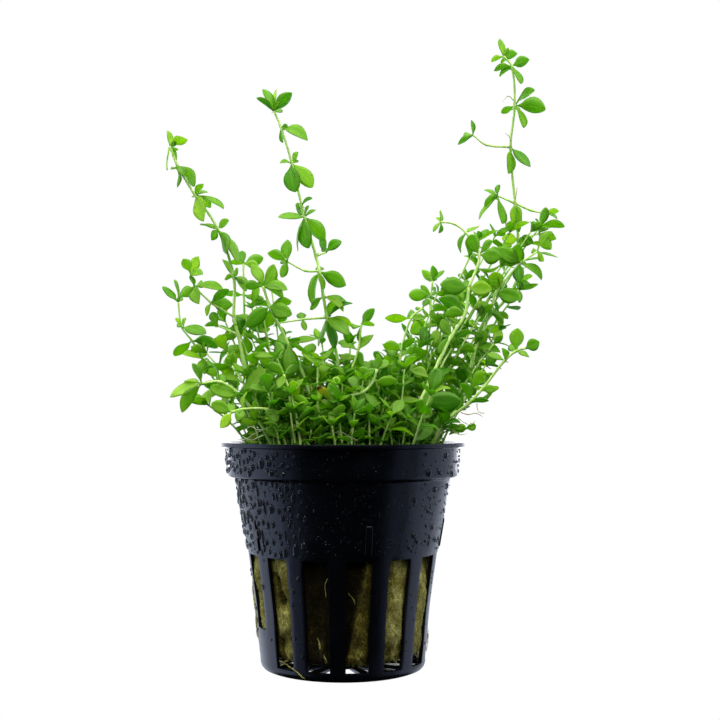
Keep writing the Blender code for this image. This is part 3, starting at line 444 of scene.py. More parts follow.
# Wool fibres are a few hundredths of a millimetre thick, drawn at 0.3 mm here so that they show.
bent = add_node(tree, "TexNoise", {"Vector": place, "Scale": 350.0, "Detail": 2.0})
swirl = add_node(
    tree, "VectorMath", {0: bent.outputs["Color"], 1: (0.006, 0.006, 0.006)}, operation="MULTIPLY"
)
moved = add_node(tree, "VectorMath", {0: place, 1: swirl.outputs[0]}, operation="ADD").outputs[0]
drawn_out = add_node(tree, "Mapping", {"Vector": moved, "Scale": (2600, 2600, 1300)}).outputs[0]
fibre = add_node(
    tree, "TexNoise", {"Vector": drawn_out, "Scale": 1.0, "Detail": 4.0, "Roughness": 0.7}
).outputs[0]
clump = add_node(tree, "TexNoise", {"Vector": place, "Scale": 260.0, "Detail": 3.0}).outputs[0]
threads = add_node(tree, "Math", {0: fibre, 1: 0.8, 2: -0.14}, operation="MULTIPLY_ADD").outputs[0]
pale = add_node(tree, "Math", {0: clump, 1: 0.36, 2: threads}, operation="MULTIPLY_ADD").outputs[0]
# The tone attribute holds the mat's dryness together with painted shade, and lightens the colour where it is
# high.
dryness_and_shade_tone = add_node(tree, "Attribute", attribute_name="tone").outputs["Fac"]
pale = add_node(tree, "Math", {0: dryness_and_shade_tone, 1: 0.45, 2: pale}, operation="MULTIPLY_ADD").outputs[0]
# Single strands lie across the mat as fine light lines, 0.1 mm wide and about 1 mm apart.
crossing = add_node(
    tree, "Mapping", {"Vector": moved, "Rotation": (0.6, 0.5, 0), "Scale": (1500, 1500, 700)}
).outputs[0]
course = add_node(tree, "TexNoise", {"Vector": crossing, "Scale": 1.0, "Detail": 2.0}).outputs[0]
centred = add_node(tree, "Math", {0: course, 1: 0.5}, operation="SUBTRACT").outputs[0]
off_strand = add_node(tree, "Math", {0: centred}, operation="ABSOLUTE").outputs[0]
strand = add_node(
    tree, "MapRange",
    {"Value": off_strand, "From Min": 0.0, "From Max": 0.035, "To Min": 1.0, "To Max": 0.0},
).outputs[0]
pale = add_node(tree, "Math", {0: strand, 1: 0.08, 2: pale}, operation="MULTIPLY_ADD").outputs[0]
colour = add_node(
    tree, "ValToRGB", {"Fac": pale},
    [
        (0.26, "#181304"), (0.97, "#D2D084"), (0.50, "#251E06"), (0.61, "#443E12"), (0.74, "#6E6822"),
        (0.86, "#A09A4C"),
    ],
)
bump = add_node(tree, "Bump", {"Height": fibre, "Strength": 0.9, "Distance": 0.0005})
tree.links.new(colour.outputs[0], shader.inputs["Base Color"])
tree.links.new(bump.outputs[0], shader.inputs["Normal"])
shader.inputs["Roughness"].default_value = 0.85
shader.inputs["Specular IOR Level"].default_value = 0.2

PLUG_COLUMNS = 288
# Top, side and underside from the middle out and back, as radius and height. On the side the radius is 0 here
# and follows the pot's wall.
SIDE_ROWS = np.arange(6, 68)
PLUG_OUTLINE = np.concatenate((
    [(2.0, 41.0), (8.0, 41.0), (14.0, 40.8), (18.5, 40.6), (20.8, 40.2), (21.6, 39.2)],
    [(0.0, height) for height in np.linspace(38.0, 5.2, 62)],
    [(0.0, 4.4), (16.6, 3.6), (14.0, 3.0), (9.0, 1.5), (2.0, 1.4)],
))
# Hollows and swellings of the mat: angle, height, half width, half height, and how far they stand out.
MAT_FORMS = [
    (-16, 15, 3.4, 13, -2.0), (-14.5, 5.5, 0.6, 3.0, 1.9), (12.5, 8, 1.6, 4.0, 0.5),
    (7, 4.5, 2.6, 1.8, 0.7), (-46, 20.5, 1.1, 1.6, -2.4), (-43, 17.2, 1.2, 1.5, -2.2),
    (-47, 13.5, 0.7, 3.0, -1.5), (-40, 12.6, 2.0, 2.2, 1.2), (-41, 8, 1.6, 1.5, -0.8),
    (-47, 6.0, 1.0, 2.2, -2.2), (-62, 14, 0.8, 5.5, -2.6), (-70, 19, 1.6, 5.0, 0.6),
    (66.5, 20, 0.8, 5.0, -2.8), (29, 20, 1.2, 3.0, -0.7), (36, 13, 3.0, 6.0, 0.6), (32, 5.5, 1.0, 1.5, -0.9),
    (59, 13, 1.8, 8.0, 0.9), (-90, 12, 2.5, 7.0, 1.0), (86, 6, 1.0, 2.5, 0.7),
    (112, 14, 1.8, 6.0, -1.4), (140, 11, 2.0, 6.0, 0.7), (165, 18, 1.4, 4.0, -1.9), (190, 9, 2.2, 4.0, 0.8),
    (216, 16, 1.8, 5.0, -1.5), (242, 10, 1.5, 5.0, 0.8),
]
# A flap hangs across one slot. Its free edge runs from upper right to lower left, as height and angle.
FLAP_EDGE = ((3.5, 6.0, 12.0, 22.0, 26.0), (1.0, 4.0, 7.5, 13.5, 15.0))
FLAP_DEPTH = 2.4
# How light the mat is round the pot, as angle and share: 0 where it is dark brown and 1 where it is pale. It
# is partly how dry the mat is and partly painted shade: the slots between -24 and -6 degrees lie deeper and
# are painted dark.
DRYNESS_AND_SHADE = (
    (-180, -75, -55, -30, -24, -6, 0, 20, 27, 45, 60, 90, 180),
    (0.6, 0.9, 0.76, 0.7, 0.0, 0.0, 0.36, 0.44, 0.84, 0.9, 1, 1, 0.6),
)
PLUG_GAP = 0.2
MAT_RADIUS = 19.5
turn = np.linspace(0, 360, PLUG_COLUMNS, endpoint=False)
heights = PLUG_OUTLINE[:, 1:] + 0 * turn
side = PLUG_OUTLINE[:, 0] == 0
radii = PLUG_OUTLINE[:, :1] + 0 * turn
radii[side] = wall_radius(heights[side]) - WALL - PLUG_GAP
# The mat swells in each slot's middle, and has lumps of three sizes: about 6, 2.4 and 1 mm.
phase = (turn - FIRST_SLOT_ANGLE + pitch / 2) % pitch - pitch / 2
swell = np.clip(np.cos(np.pi * phase / SLOT_WIDTH_ANGLE), 0, 1) * (np.abs(phase) < SLOT_WIDTH_ANGLE / 2)
below_band = np.clip((SLOT_TOP - 1 - heights) / 4, 0, 1) * side[:, None]
rest = around(radii, turn[None], heights)
lumps = 0.0
for seed, (lump_height, lump_size) in enumerate(((0.45, 6.0), (0.3, 2.4), (0.16, 1.0)), 1):
    lumps = lumps + lump_height * lattice_noise(rest, lump_size, seed)
forms = 0.0
for form_angle, form_height, half_wide, half_tall, depth in MAT_FORMS:
    off_side = ((turn[None] - form_angle + 180) % 360 - 180) * np.radians(1) * MAT_RADIUS / half_wide
    off_height = (heights - form_height) / half_tall
    forms = forms + depth * np.exp(-off_side**4 - off_height**4)
behind_flap = np.clip((np.interp(heights, *FLAP_EDGE) - turn) / 1.4, 0, 1) * (turn < 18) * (heights > 3.5)
forms = forms - FLAP_DEPTH * behind_flap
# Behind a rib the mat stays inside the wall. In a slot it comes up to 1.3 mm out of its bed.
inner = np.abs(phase)[None] < SLOT_WIDTH_ANGLE / 2 - 0.8
outward = 0.75 * swell * below_band + np.where(inner, forms, np.minimum(forms, 0)) + lumps - 0.35
limit = np.where(inner, 1.3, -0.05)
radii = np.where(side[:, None], radii + np.minimum(outward, limit), radii + 0.3 * lumps)
# The lower edge frays up and down, and the top is uneven.
frayed = np.exp(-((heights - 4.4) / 2.2) ** 2) * side[:, None]
heights = heights + 0.5 * lumps * (heights > 39) + frayed * (0.5 + 0.9 * lattice_noise(rest, 1.6, 4))
mat = around(radii, turn[None], heights)
mat_rows, mat_columns = mat.shape[:2]
top_ring = np.arange(mat_columns)
low_ring = top_ring + (mat_rows - 1) * mat_columns
caps = np.concatenate((
    np.stack((top_ring, np.roll(top_ring, -1), np.full(mat_columns, mat_rows * mat_columns)), -1),
    np.stack((np.roll(low_ring, -1), low_ring, np.full(mat_columns, mat_rows * mat_columns + 1)), -1),
))
mat_points = np.concatenate((mat.reshape(-1, 3), [(0, 0, 41.0), (0, 0, 1.4)]))
mat_faces = [grid_faces(mat_rows, mat_columns, True).reshape(-1, 4), caps]
# Hollows are painted darker and swellings and lumps lighter than the mat round them, as painted shade and
# light by the mat's relief.
signed_turn = (turn + 180) % 360 - 180
mat_dryness_and_shade = np.interp(signed_turn, *DRYNESS_AND_SHADE)[None] + 0.22 * np.clip(forms, -2.5, 1.2) + 0.25 * lumps
mat_dryness_and_shade = np.append(np.clip(mat_dryness_and_shade, 0, 1), (0.4, 0.2))
make_piece(
    "matted_wool_plug", mat_points, mat_faces, mineral_wool, ("wool_plug",), tones=mat_dryness_and_shade
)


def tubes(paths, radii, sides):
    """Closed round tubes. paths is (tubes, points, 3) and radii (tubes, points). Each ring stands square to
    the path, and starts from the direction in which that path bends least. Both ends run to a point."""
    count, length = paths.shape[:2]
    along = np.gradient(paths, axis=1)
    along /= np.linalg.norm(along, axis=-1, keepdims=True)
    centred = paths - paths.mean(1, keepdims=True)
    least = np.linalg.svd(centred)[2][:, None, -1]
    first = least - along * (along * least).sum(-1, keepdims=True)
    first /= np.linalg.norm(first, axis=-1, keepdims=True)
    second = np.cross(along, first)
    turn = np.linspace(0, math.tau, sides, endpoint=False)[:, None]
    ring = first[:, :, None] * np.cos(turn) + second[:, :, None] * np.sin(turn)
    body = paths[:, :, None] + ring * radii[:, :, None, None]
    ends = paths[:, [0, -1]] + along[:, [0, -1]] * radii[:, [0, -1], None] * np.array((-0.5, 0.5))[:, None]
    each = length * sides + 2
    points = np.concatenate((body.reshape(count, -1, 3), ends), 1).reshape(-1, 3)
    quads = grid_faces(length, sides, True).reshape(-1, 4)[:, ::-1]
    start = np.arange(sides)
    finish_ring = start + (length - 1) * sides
    caps = np.concatenate((
        np.stack((np.roll(start, -1), start, np.full(sides, each - 2)), -1),
        np.stack((finish_ring, np.roll(finish_ring, -1), np.full(sides, each - 1)), -1),
    ))
    shift = (np.arange(count) * each)[:, None, None]
    return points, [(quads + shift).reshape(-1, 4), (caps + shift).reshape(-1, 3)]


# Loose fibres of the wool lie over the mat in every slot, and hang from its lower edge. Real ones are thinner
# still. All lengths are drawn between the two that are given.
draw = np.random.default_rng(21)
FIBRES_A_SLOT = 170
FIBRE_POINTS = 7
FIBRE_LENGTHS = (1.5, 5.5)
FIBRE_RADII = (0.025, 0.055)
FIBRE_HALF_SPREAD = 6.7
slot_middle = np.repeat(FIRST_SLOT_ANGLE + pitch * np.arange(SLOT_COUNT), FIBRES_A_SLOT)
count = len(slot_middle)
step = np.linspace(-0.5, 0.5, FIBRE_POINTS)
fibre_height = draw.uniform(4.5, SLOT_TOP - 1.0, count)
fibre_length = draw.uniform(*FIBRE_LENGTHS, count)
lean = draw.normal(0, 0.55, count)
curl = draw.normal(0, 0.9, (count, 2))
curled = step**2 - 0.1
upright = step * (fibre_length * np.cos(lean))[:, None]
lying = np.clip(fibre_height[:, None] + upright + curl[:, :1] * curled, 3.4, SLOT_TOP - 0.3)
sideways = step * (fibre_length * np.sin(lean))[:, None] + curl[:, 1:] * curled * 1.5
start_angle = slot_middle + draw.uniform(-6.2, 6.2, count)
off_middle = start_angle[:, None] + np.degrees(sideways / MAT_RADIUS) - slot_middle[:, None]
fibre_angle = slot_middle[:, None] + np.clip(off_middle, -FIBRE_HALF_SPREAD, FIBRE_HALF_SPREAD)
mat_row = np.interp(-lying, -PLUG_OUTLINE[SIDE_ROWS, 1], SIDE_ROWS).round().astype(int)
mat_column = (fibre_angle / (360 / PLUG_COLUMNS)).round().astype(int) % PLUG_COLUMNS
on_mat = radii[mat_row, mat_column]
smoothed = (on_mat + np.roll(on_mat, 1, 1) + np.roll(on_mat, -1, 1)) / 3
lifted = 0.05 + 0.25 * draw.random((count, 1)) * (1 - 2 * np.abs(step))
fibre_paths = around(np.minimum(smoothed + lifted, wall_radius(lying) + 0.5), fibre_angle, lying)
fibre_thickness = np.tile(draw.uniform(*FIBRE_RADII, (count, 1)), (1, FIBRE_POINTS))
fibre_points, fibre_faces = tubes(fibre_paths, fibre_thickness, 3)
# A fibre takes the mat's dryness and painted shade under its middle, a little lighter.
middle_corner = (mat_row * PLUG_COLUMNS + mat_column)[:, FIBRE_POINTS // 2]
fibre_dryness_and_shade = np.clip(mat_dryness_and_shade[middle_corner] + draw.uniform(0.0, 0.2, count), 0, 1)
fibre_tones = np.repeat(fibre_dryness_and_shade, FIBRE_POINTS * 3 + 2)
make_piece("loose_wool_fibres", fibre_points, fibre_faces, mineral_wool, tones=fibre_tones)

# A few long strands have pulled out. Some cling to the ring under the slots on the left, and a thin bundle
# lies in the dark slot. Each runs from an angle and height to another, so far from the wall's outer skin.
STRAND_RADIUS = 0.07
STRANDS = np.array([
    (-38.5, 2.9, -25.5, 0.5, 0.10), (-39.5, 3.3, -27.5, 0.6, 0.12), (-46.0, 3.6, -41.0, 3.1, 0.10),
    (-45.0, 2.6, -41.5, 3.2, 0.10), (-41.5, 3.2, -39.0, 4.0, 0.12), (-16.6, 8.6, -11.2, 4.2, -1.1),
    (-17.4, 8.2, -11.8, 4.0, -1.2), (-16.9, 7.6, -11.4, 4.4, -1.0), (-18.0, 9.2, -13.0, 4.9, -1.3),
    (-9.9, 22.0, -11.5, 18.0, -1.2), (4.0, 19.0, 7.2, 16.6, -1.2), (36.0, 4.6, 38.6, 3.0, -0.4),
])
share = np.linspace(0, 1, FIBRE_POINTS)
from_angle, from_height, to_angle, to_height, off_wall = STRANDS.T[:, :, None]
strand_angle = from_angle + (to_angle - from_angle) * share + 0.7 * np.sin(share * 5 + from_angle)
strand_height = from_height + (to_height - from_height) * share + 0.25 * np.sin(share * math.pi)
strand_paths = around(wall_radius(strand_height) + off_wall, strand_angle, strand_height)
strand_points, strand_faces = tubes(strand_paths, np.full(strand_paths.shape[:2], STRAND_RADIUS), 4)
strand_tones = np.ones(len(strand_points))
make_piece(
    "pulled_wool_strands", strand_points, strand_faces, mineral_wool, tones=strand_tones
)


# Leaves. Thin, soft and hairless, in pairs: a short stalk, a blade that is widest about its middle with a
# round tip, one pale rib and a slight fold along it. Both sides are green, the lower one greyer.
STALK_HALF_WIDTH = 0.16
BLADE_HALF_THICKNESS = 0.09


def blades(leaves, rows):
    """Closed thin leaves. A flat ring of eight points is carried from base to tip along a parabola that
    stands the droop's share of the length off the straight line. Its half width follows s^0.8 (1 - s)^blunt,
    with s the share of the blade, and is never less than the stalk's. The blade folds up along its rib,
    waves, and bends sideways by the sickle's share of the length."""
    base, tip, across = leaves[:, 0:3], leaves[:, 3:6], leaves[:, 6:9]
    width, droop, fold, stalk, wave, phase, tone, sickle, blunt = leaves[:, 9:18].T[:, :, None, None]
    along = tip - base
    length = np.linalg.norm(along, axis=-1)[:, None, None]
    direction = along / length[:, 0]
    across = across - direction * (across * direction).sum(-1, keepdims=True)
    across /= np.linalg.norm(across, axis=-1, keepdims=True)
    normal = np.cross(direction, across)
    u = np.array(rows)[None, :, None]
    sideways = np.array((1, 0.55, 0, -0.55, -1, -0.55, 0, 0.55))
    upwards = np.array((0, 1, 1, 1, 0, -1, -1, -1))
    s = np.clip((u - stalk) / (1 - stalk), 0, 1)
    widest = 0.8 / (0.8 + blunt)
    outline = (s / widest) ** 0.8 * ((1 - s) / (1 - widest)) ** blunt
    half = np.maximum(width / 2 * outline, STALK_HALF_WIDTH + 0.05 * (1 - u))
    half = half * np.clip((1.02 - u) / 0.04, 0.4, 1)
    thick = BLADE_HALF_THICKNESS + 0.12 * (1 - u) ** 3
    side = sideways * half
    arch = droop * length * 4 * u * (1 - u)
    bend = sickle * length * 4 * u * (1 - u)
    folded = fold * half * np.abs(sideways) ** 1.3
    waved = wave * half * np.sin(u * 7 + phase + sideways * 1.2)
    lift = arch + folded + waved + upwards * thick * (1 - 0.5 * np.abs(sideways))
    body = (
        base[:, None, None] + direction[:, None, None] * (u * length)[..., None]
        + across[:, None, None] * (side + bend)[..., None] + normal[:, None, None] * lift[..., None]
    )
    count, each = len(leaves), len(rows) * 8
    points = np.concatenate((body.reshape(count, each, 3), tip[:, None]), 1).reshape(-1, 3)
    quads = grid_faces(len(rows), 8, True).reshape(-1, 4)[:, ::-1]
    last = each - 8 + np.arange(8)
    point = np.stack((last, np.roll(last, -1), np.full(8, each)), -1)
    foot = np.array([(0, 7, 6, 1), (1, 6, 5, 2), (2, 5, 4, 3)])
    shift = (np.arange(count) * (each + 1))[:, None, None]
    row, column = np.divmod(np.arange(each), 8)
    place = np.stack((np.array(rows)[row], column / 8), -1)
    quad_place = place[quads]
    wraps = (column[quads] == 0) & (column[quads].max(1, keepdims=True) == 7)
    quad_place[..., 1] += wraps
    point_place = np.stack((
        place[last], place[last] + (0, 1 / 8), np.stack((np.ones(8), place[last, 1] + 1 / 16), -1),
    ), 1)
    corners = [np.tile(part, (count, 1, 1)) for part in (quad_place, place[foot], point_place)]
    faces = [(part + shift).reshape(-1, part.shape[1]) for part in (quads, foot, point)]
    tones = np.repeat(tone.ravel(), each + 1)
    return points, faces, corners, tones


# A leaf stays if its tip is inside this radius or above this height. Farther than EDGE_OFFSET to the left or
# right, where the rim is bare, the low pieces ask for HANGING_CLEAR.
RIM_INSIDE = 24.2
RIM_CLEAR = 51.5
HANGING_CLEAR = 57.5
EDGE_OFFSET = 20.0


def leaf_piece(name, leaves, rows, replaces=(), clear=RIM_CLEAR):
    """One piece of all these leaves, less those whose tip would stand in the rim, or hangs over its left or
    right edge lower than clear."""
    leaves = np.array(leaves)
    tip_x, tip_y, tip_z = leaves[:, 3:6].T
    lowest = np.where(np.abs(tip_x) > EDGE_OFFSET, clear, RIM_CLEAR)
    free = (np.hypot(tip_x, tip_y) < RIM_INSIDE) | (tip_z > lowest)
    points, faces, corners, tones = blades(leaves[free], rows)
    make_piece(name, points, faces, young_leaf, replaces, corners, tones)


# Where along a leaf its rings stand, as shares of its length. Small hidden leaves have fewer.
FULL_ROWS = (0, 0.1, 0.2, 0.32, 0.45, 0.58, 0.70, 0.81, 0.90, 0.965)
SMALL_ROWS = (0, 0.2, 0.42, 0.68, 0.92)

# A young leaf grown in the light: satin, a little blistered between its veins, and lit through from behind.
# The rib is 0.3 mm wide, the side veins 0.8 mm apart, and the mottling 1 mm.
young_leaf, tree, shader, place = new_finish("young_leaf")
# The place on a leaf is its share from base to tip, and a turn round it that starts at one edge.
surface = add_node(tree, "UVMap", uv_map="surface").outputs[0]
parts = add_node(tree, "SeparateXYZ", {"Vector": surface})
lengthwise, round_leaf = parts.outputs[0], parts.outputs[1]
twice = add_node(tree, "Math", {0: round_leaf, 1: 2.0}, operation="MULTIPLY").outputs[0]
halfway = add_node(tree, "Math", {0: twice}, operation="FRACT").outputs[0]
signed = add_node(tree, "Math", {0: halfway, 1: 2.0, 2: -1.0}, operation="MULTIPLY_ADD").outputs[0]
off_rib = add_node(tree, "Math", {0: signed}, operation="ABSOLUTE").outputs[0]
under = add_node(tree, "Math", {0: round_leaf, 1: 0.5}, operation="GREATER_THAN").outputs[0]
rib = add_node(
    tree, "MapRange",
    {"Value": off_rib, "From Min": 0.03, "From Max": 0.16, "To Min": 1.0, "To Max": 0.0},
    interpolation_type="SMOOTHSTEP",
).outputs[0]
fading = add_node(
    tree, "MapRange",
    {"Value": lengthwise, "From Min": 0.5, "From Max": 1.0, "To Min": 1.0, "To Max": 0.0},
).outputs[0]
rib = add_node(tree, "Math", {0: rib, 1: fading}, operation="MULTIPLY").outputs[0]
slant = add_node(tree, "Math", {0: off_rib, 1: -0.22, 2: lengthwise}, operation="MULTIPLY_ADD").outputs[0]
swing = add_node(tree, "Math", {0: slant, 1: 42.0}, operation="MULTIPLY").outputs[0]
swing = add_node(tree, "Math", {0: swing}, operation="SINE").outputs[0]
vein = add_node(
    tree, "MapRange", {"Value": swing, "From Min": 0.7, "From Max": 1.0},
    interpolation_type="SMOOTHSTEP",
).outputs[0]
mottling = add_node(tree, "TexNoise", {"Vector": place, "Scale": 900.0, "Detail": 1.0}).outputs[0]
broad = add_node(tree, "TexNoise", {"Vector": place, "Scale": 220.0, "Detail": 1.0}).outputs[0]
tone = add_node(tree, "Attribute", attribute_name="tone").outputs["Fac"]
varied = add_node(tree, "Math", {0: mottling, 1: 0.22, 2: tone}, operation="MULTIPLY_ADD").outputs[0]
varied = add_node(tree, "Math", {0: broad, 1: 0.3, 2: varied}, operation="MULTIPLY_ADD").outputs[0]
varied = add_node(tree, "Math", {0: varied, 1: -0.26}, operation="ADD").outputs[0]
green = add_node(
    tree, "ValToRGB", {"Fac": varied},
    [(0.0, "#3C8412"), (1.0, "#ACCC54"), (0.35, "#66A020"), (0.7, "#8EB838")],
).outputs[0]
grey_share = add_node(tree, "Math", {0: under, 1: 0.5}, operation="MULTIPLY").outputs[0]
sided = add_node(
    tree, "Mix", {0: grey_share, 6: green, 7: linear("#86B34E")}, data_type="RGBA"
).outputs[2]
lines = add_node(
    tree, "Math", {0: vein, 1: 0.14, 2: rib}, operation="MULTIPLY_ADD", use_clamp=True
).outputs[0]
line_share = add_node(tree, "Math", {0: lines, 1: 0.3}, operation="MULTIPLY").outputs[0]
veined = add_node(
    tree, "Mix", {0: line_share, 6: sided, 7: linear("#9CCB4A")}, data_type="RGBA"
).outputs[2]
# One leaf in the middle of the bush has yellowed and its tip is burnt brown, and so is a small one by the
# rim. Their tone is OLD_TONE, and a leaf counts as old from 1.5 on.
OLD_TONE = 2.0
old = add_node(tree, "Math", {0: tone, 1: 1.5}, operation="GREATER_THAN").outputs[0]
burn_edge = add_node(tree, "Math", {0: mottling, 1: -0.2, 2: lengthwise}, operation="MULTIPLY_ADD").outputs[0]
burning = add_node(
    tree, "ValToRGB", {"Fac": burn_edge},
    [(0.4, "#8AA824"), (0.9, "#2C180A"), (0.68, "#9CA22C"), (0.76, "#54300F")],
).outputs[0]
aged = add_node(tree, "Mix", {0: old, 6: veined, 7: burning}, data_type="RGBA").outputs[2]
# Here and there a leaf has a dark speck, about 0.2 mm across.
specks = add_node(tree, "TexVoronoi", {"Vector": place, "Scale": 260.0})
near = add_node(tree, "Math", {0: specks.outputs["Distance"], 1: 0.05}, operation="LESS_THAN").outputs[0]
speck_share = add_node(tree, "Math", {0: near, 1: 0.7}, operation="MULTIPLY").outputs[0]
leaf_colour = add_node(
    tree, "Mix", {0: speck_share, 6: aged, 7: linear("#24410C")}, data_type="RGBA"
).outputs[2]
swollen = add_node(tree, "Math", {0: lines, 1: -1.2, 2: mottling}, operation="MULTIPLY_ADD").outputs[0]
bump = add_node(tree, "Bump", {"Height": swollen, "Strength": 0.2, "Distance": 0.0001})
gloss = add_node(tree, "MapRange", {"Value": mottling, "To Min": 0.42, "To Max": 0.6}).outputs[0]
tree.links.new(leaf_colour, shader.inputs["Base Color"])
tree.links.new(gloss, shader.inputs["Roughness"])
tree.links.new(bump.outputs[0], shader.inputs["Normal"])
shader.inputs["IOR"].default_value = 1.42
through_colour = add_node(
    tree, "Mix", {0: 1.0, 6: leaf_colour, 7: (1.85, 1.68, 0.74, 1.0)},
    data_type="RGBA", blend_type="MULTIPLY",
)
through = add_node(tree, "BsdfTranslucent", {"Color": through_colour.outputs[2]})
both = add_node(tree, "MixShader", {"Fac": 0.56})
tree.links.new(shader.outputs[0], both.inputs[1])
tree.links.new(through.outputs[0], both.inputs[2])
tree.links.new(both.outputs[0], tree.nodes["Material Output"].inputs["Surface"])

# Stems. Pale, juicy and almost clear, round, a little thicker at each node.
juicy_stem, tree, shader, place = new_finish("pale_juicy_stem")
# Vessels run up the stem, 0.3 mm apart. They are drawn 0.7 mm apart, as soft streaks that show from here.
upright = add_node(tree, "Mapping", {"Vector": place, "Scale": (1400, 1400, 160)}).outputs[0]
vessels = add_node(tree, "TexNoise", {"Vector": upright, "Scale": 1.0, "Detail": 2.0}).outputs[0]
colour = add_node(
    tree, "ValToRGB", {"Fac": vessels}, [(0.25, "#9CCA58"), (0.75, "#DDF6A8"), (0.5, "#BEE47C")]
)
bump = add_node(tree, "Bump", {"Height": vessels, "Strength": 0.15, "Distance": 0.0001})
tree.links.new(colour.outputs[0], shader.inputs["Base Color"])
tree.links.new(bump.outputs[0], shader.inputs["Normal"])
shader.inputs["Roughness"].default_value = 0.38
shader.inputs["IOR"].default_value = 1.4
shader.inputs["Subsurface Weight"].default_value = 0.35
shader.inputs["Subsurface Scale"].default_value = 0.0008
shader.inputs["Subsurface Radius"].default_value = (0.6, 1.0, 0.25)


def stem_path(nodes, spacing=0.9):
    """A smooth curve through the nodes: a cubic on each length, whose slope at a node points from the node
    before to the one after. Also the distance of each point from its nearest node."""
    nodes = np.asarray(nodes, float)
    slope_at = np.gradient(nodes, axis=0)
    slope_at /= np.linalg.norm(slope_at, axis=-1, keepdims=True)
    lengths = np.linalg.norm(np.diff(nodes, axis=0), axis=-1)
    counts = np.maximum(3, np.ceil(lengths / spacing)).astype(int)
    number = np.repeat(np.arange(len(lengths)), counts)
    share = np.concatenate([np.arange(count) / count for count in counts])
    number = np.append(number, len(lengths) - 1)
    share = np.append(share, 1.0)
    t = share[:, None]
    length = lengths[number][:, None]
    points = (
        (2 * t**3 - 3 * t**2 + 1) * nodes[number] + (t**3 - 2 * t**2 + t) * slope_at[number] * length
        + (3 * t**2 - 2 * t**3) * nodes[number + 1] + (t**3 - t**2) * slope_at[number + 1] * length
    )
    return points, np.minimum(share, 1 - share) * lengths[number]


STEM_TAPER = 0.42
NODE_SWELLING = 0.35
NODE_REACH = 0.55


def stem_mesh(stems):
    """Round tubes along the stems. The radius tapers evenly by STEM_TAPER to the tip, and swells by
    NODE_SWELLING exp(-(d / NODE_REACH)^2) at the distance d from a node."""
    points, quads, tris, total = [], [], [], 0
    for nodes, radius in stems:
        path, off_node = stem_path(nodes)
        taper = 1 - STEM_TAPER * np.linspace(0, 1, len(path))
        thick = radius * taper * (1 + NODE_SWELLING * np.exp(-(off_node / NODE_REACH) ** 2))
        made, faces = tubes(path[None], thick[None], 8)
        points.append(made)
        quads.append(faces[0] + total)
        tris.append(faces[1] + total)
        total += len(made)
    return np.concatenate(points), [np.concatenate(quads), np.concatenate(tris)]


def stem_piece(name, stems, replaces=()):
    """One piece of all these stems."""
    points, faces = stem_mesh(stems)
    make_piece(name, points, faces, juicy_stem, replaces)


def lay_leaf(base, tip, across, width, draw, tone, droop=None):
    """One row of the table of leaves: base, tip, across, and then the values that blades reads, in order."""
    droop = draw.uniform(-0.05, 0.17) if droop is None else droop
    forms = (
        width, droop, draw.uniform(0.02, 0.5), draw.uniform(0.07, 0.16), draw.uniform(0, 0.13),
        draw.uniform(0, math.tau), tone, draw.normal(0, 0.03), draw.uniform(0.6, 0.95),
    )
    return np.concatenate((base, tip, across, forms))


# No stem runs this way, so its cross product with a stem points to a side.
ANY_DIRECTION = (0.31, 0.95, 0.05)


def paired_leaves(nodes, draw, lengths, tone, first=1, shed=0.0):
    """Leaves in pairs on a stem from its first bearing node on, each pair at right angles to the last, and a
    tuft of four at its tip. Below the tip this share of them has been shed."""
    leaves = []
    nodes = np.asarray(nodes, float)
    turn = draw.uniform(0, math.tau)
    for number in range(first, len(nodes)):
        before = nodes[number - 1]
        along = nodes[number] - before
        along /= np.linalg.norm(along)
        side = np.cross(along, ANY_DIRECTION)
        side /= np.linalg.norm(side)
        other = np.cross(along, side)
        turn += math.pi / 2 + draw.normal(0, 0.18)
        tip_node = number == len(nodes) - 1
        for pair in range(4 if tip_node else 2):
            if not tip_node and draw.random() < shed:
                continue
            angle = turn + pair * (math.pi / 2 if tip_node else math.pi) + draw.normal(0, 0.15)
            up = draw.uniform(0.05, 0.75) + (0.35 if tip_node else 0)
            out = side * math.cos(angle) + other * math.sin(angle)
            length = draw.uniform(*lengths) * (0.62 if tip_node and pair > 1 else 1)
            aim = out * math.cos(up) + along * math.sin(up)
            across = np.cross(along, out) * (1 if draw.random() > 0.08 else -1)
            across = across + along * draw.normal(0, 0.35)
            width = length * draw.uniform(0.46, 0.66)
            leaf_tone = float(np.clip(draw.normal(tone, 0.17), 0, 1))
            tip = nodes[number] + aim * length
            leaves.append(lay_leaf(nodes[number], tip, across, width, draw, leaf_tone))
    return leaves


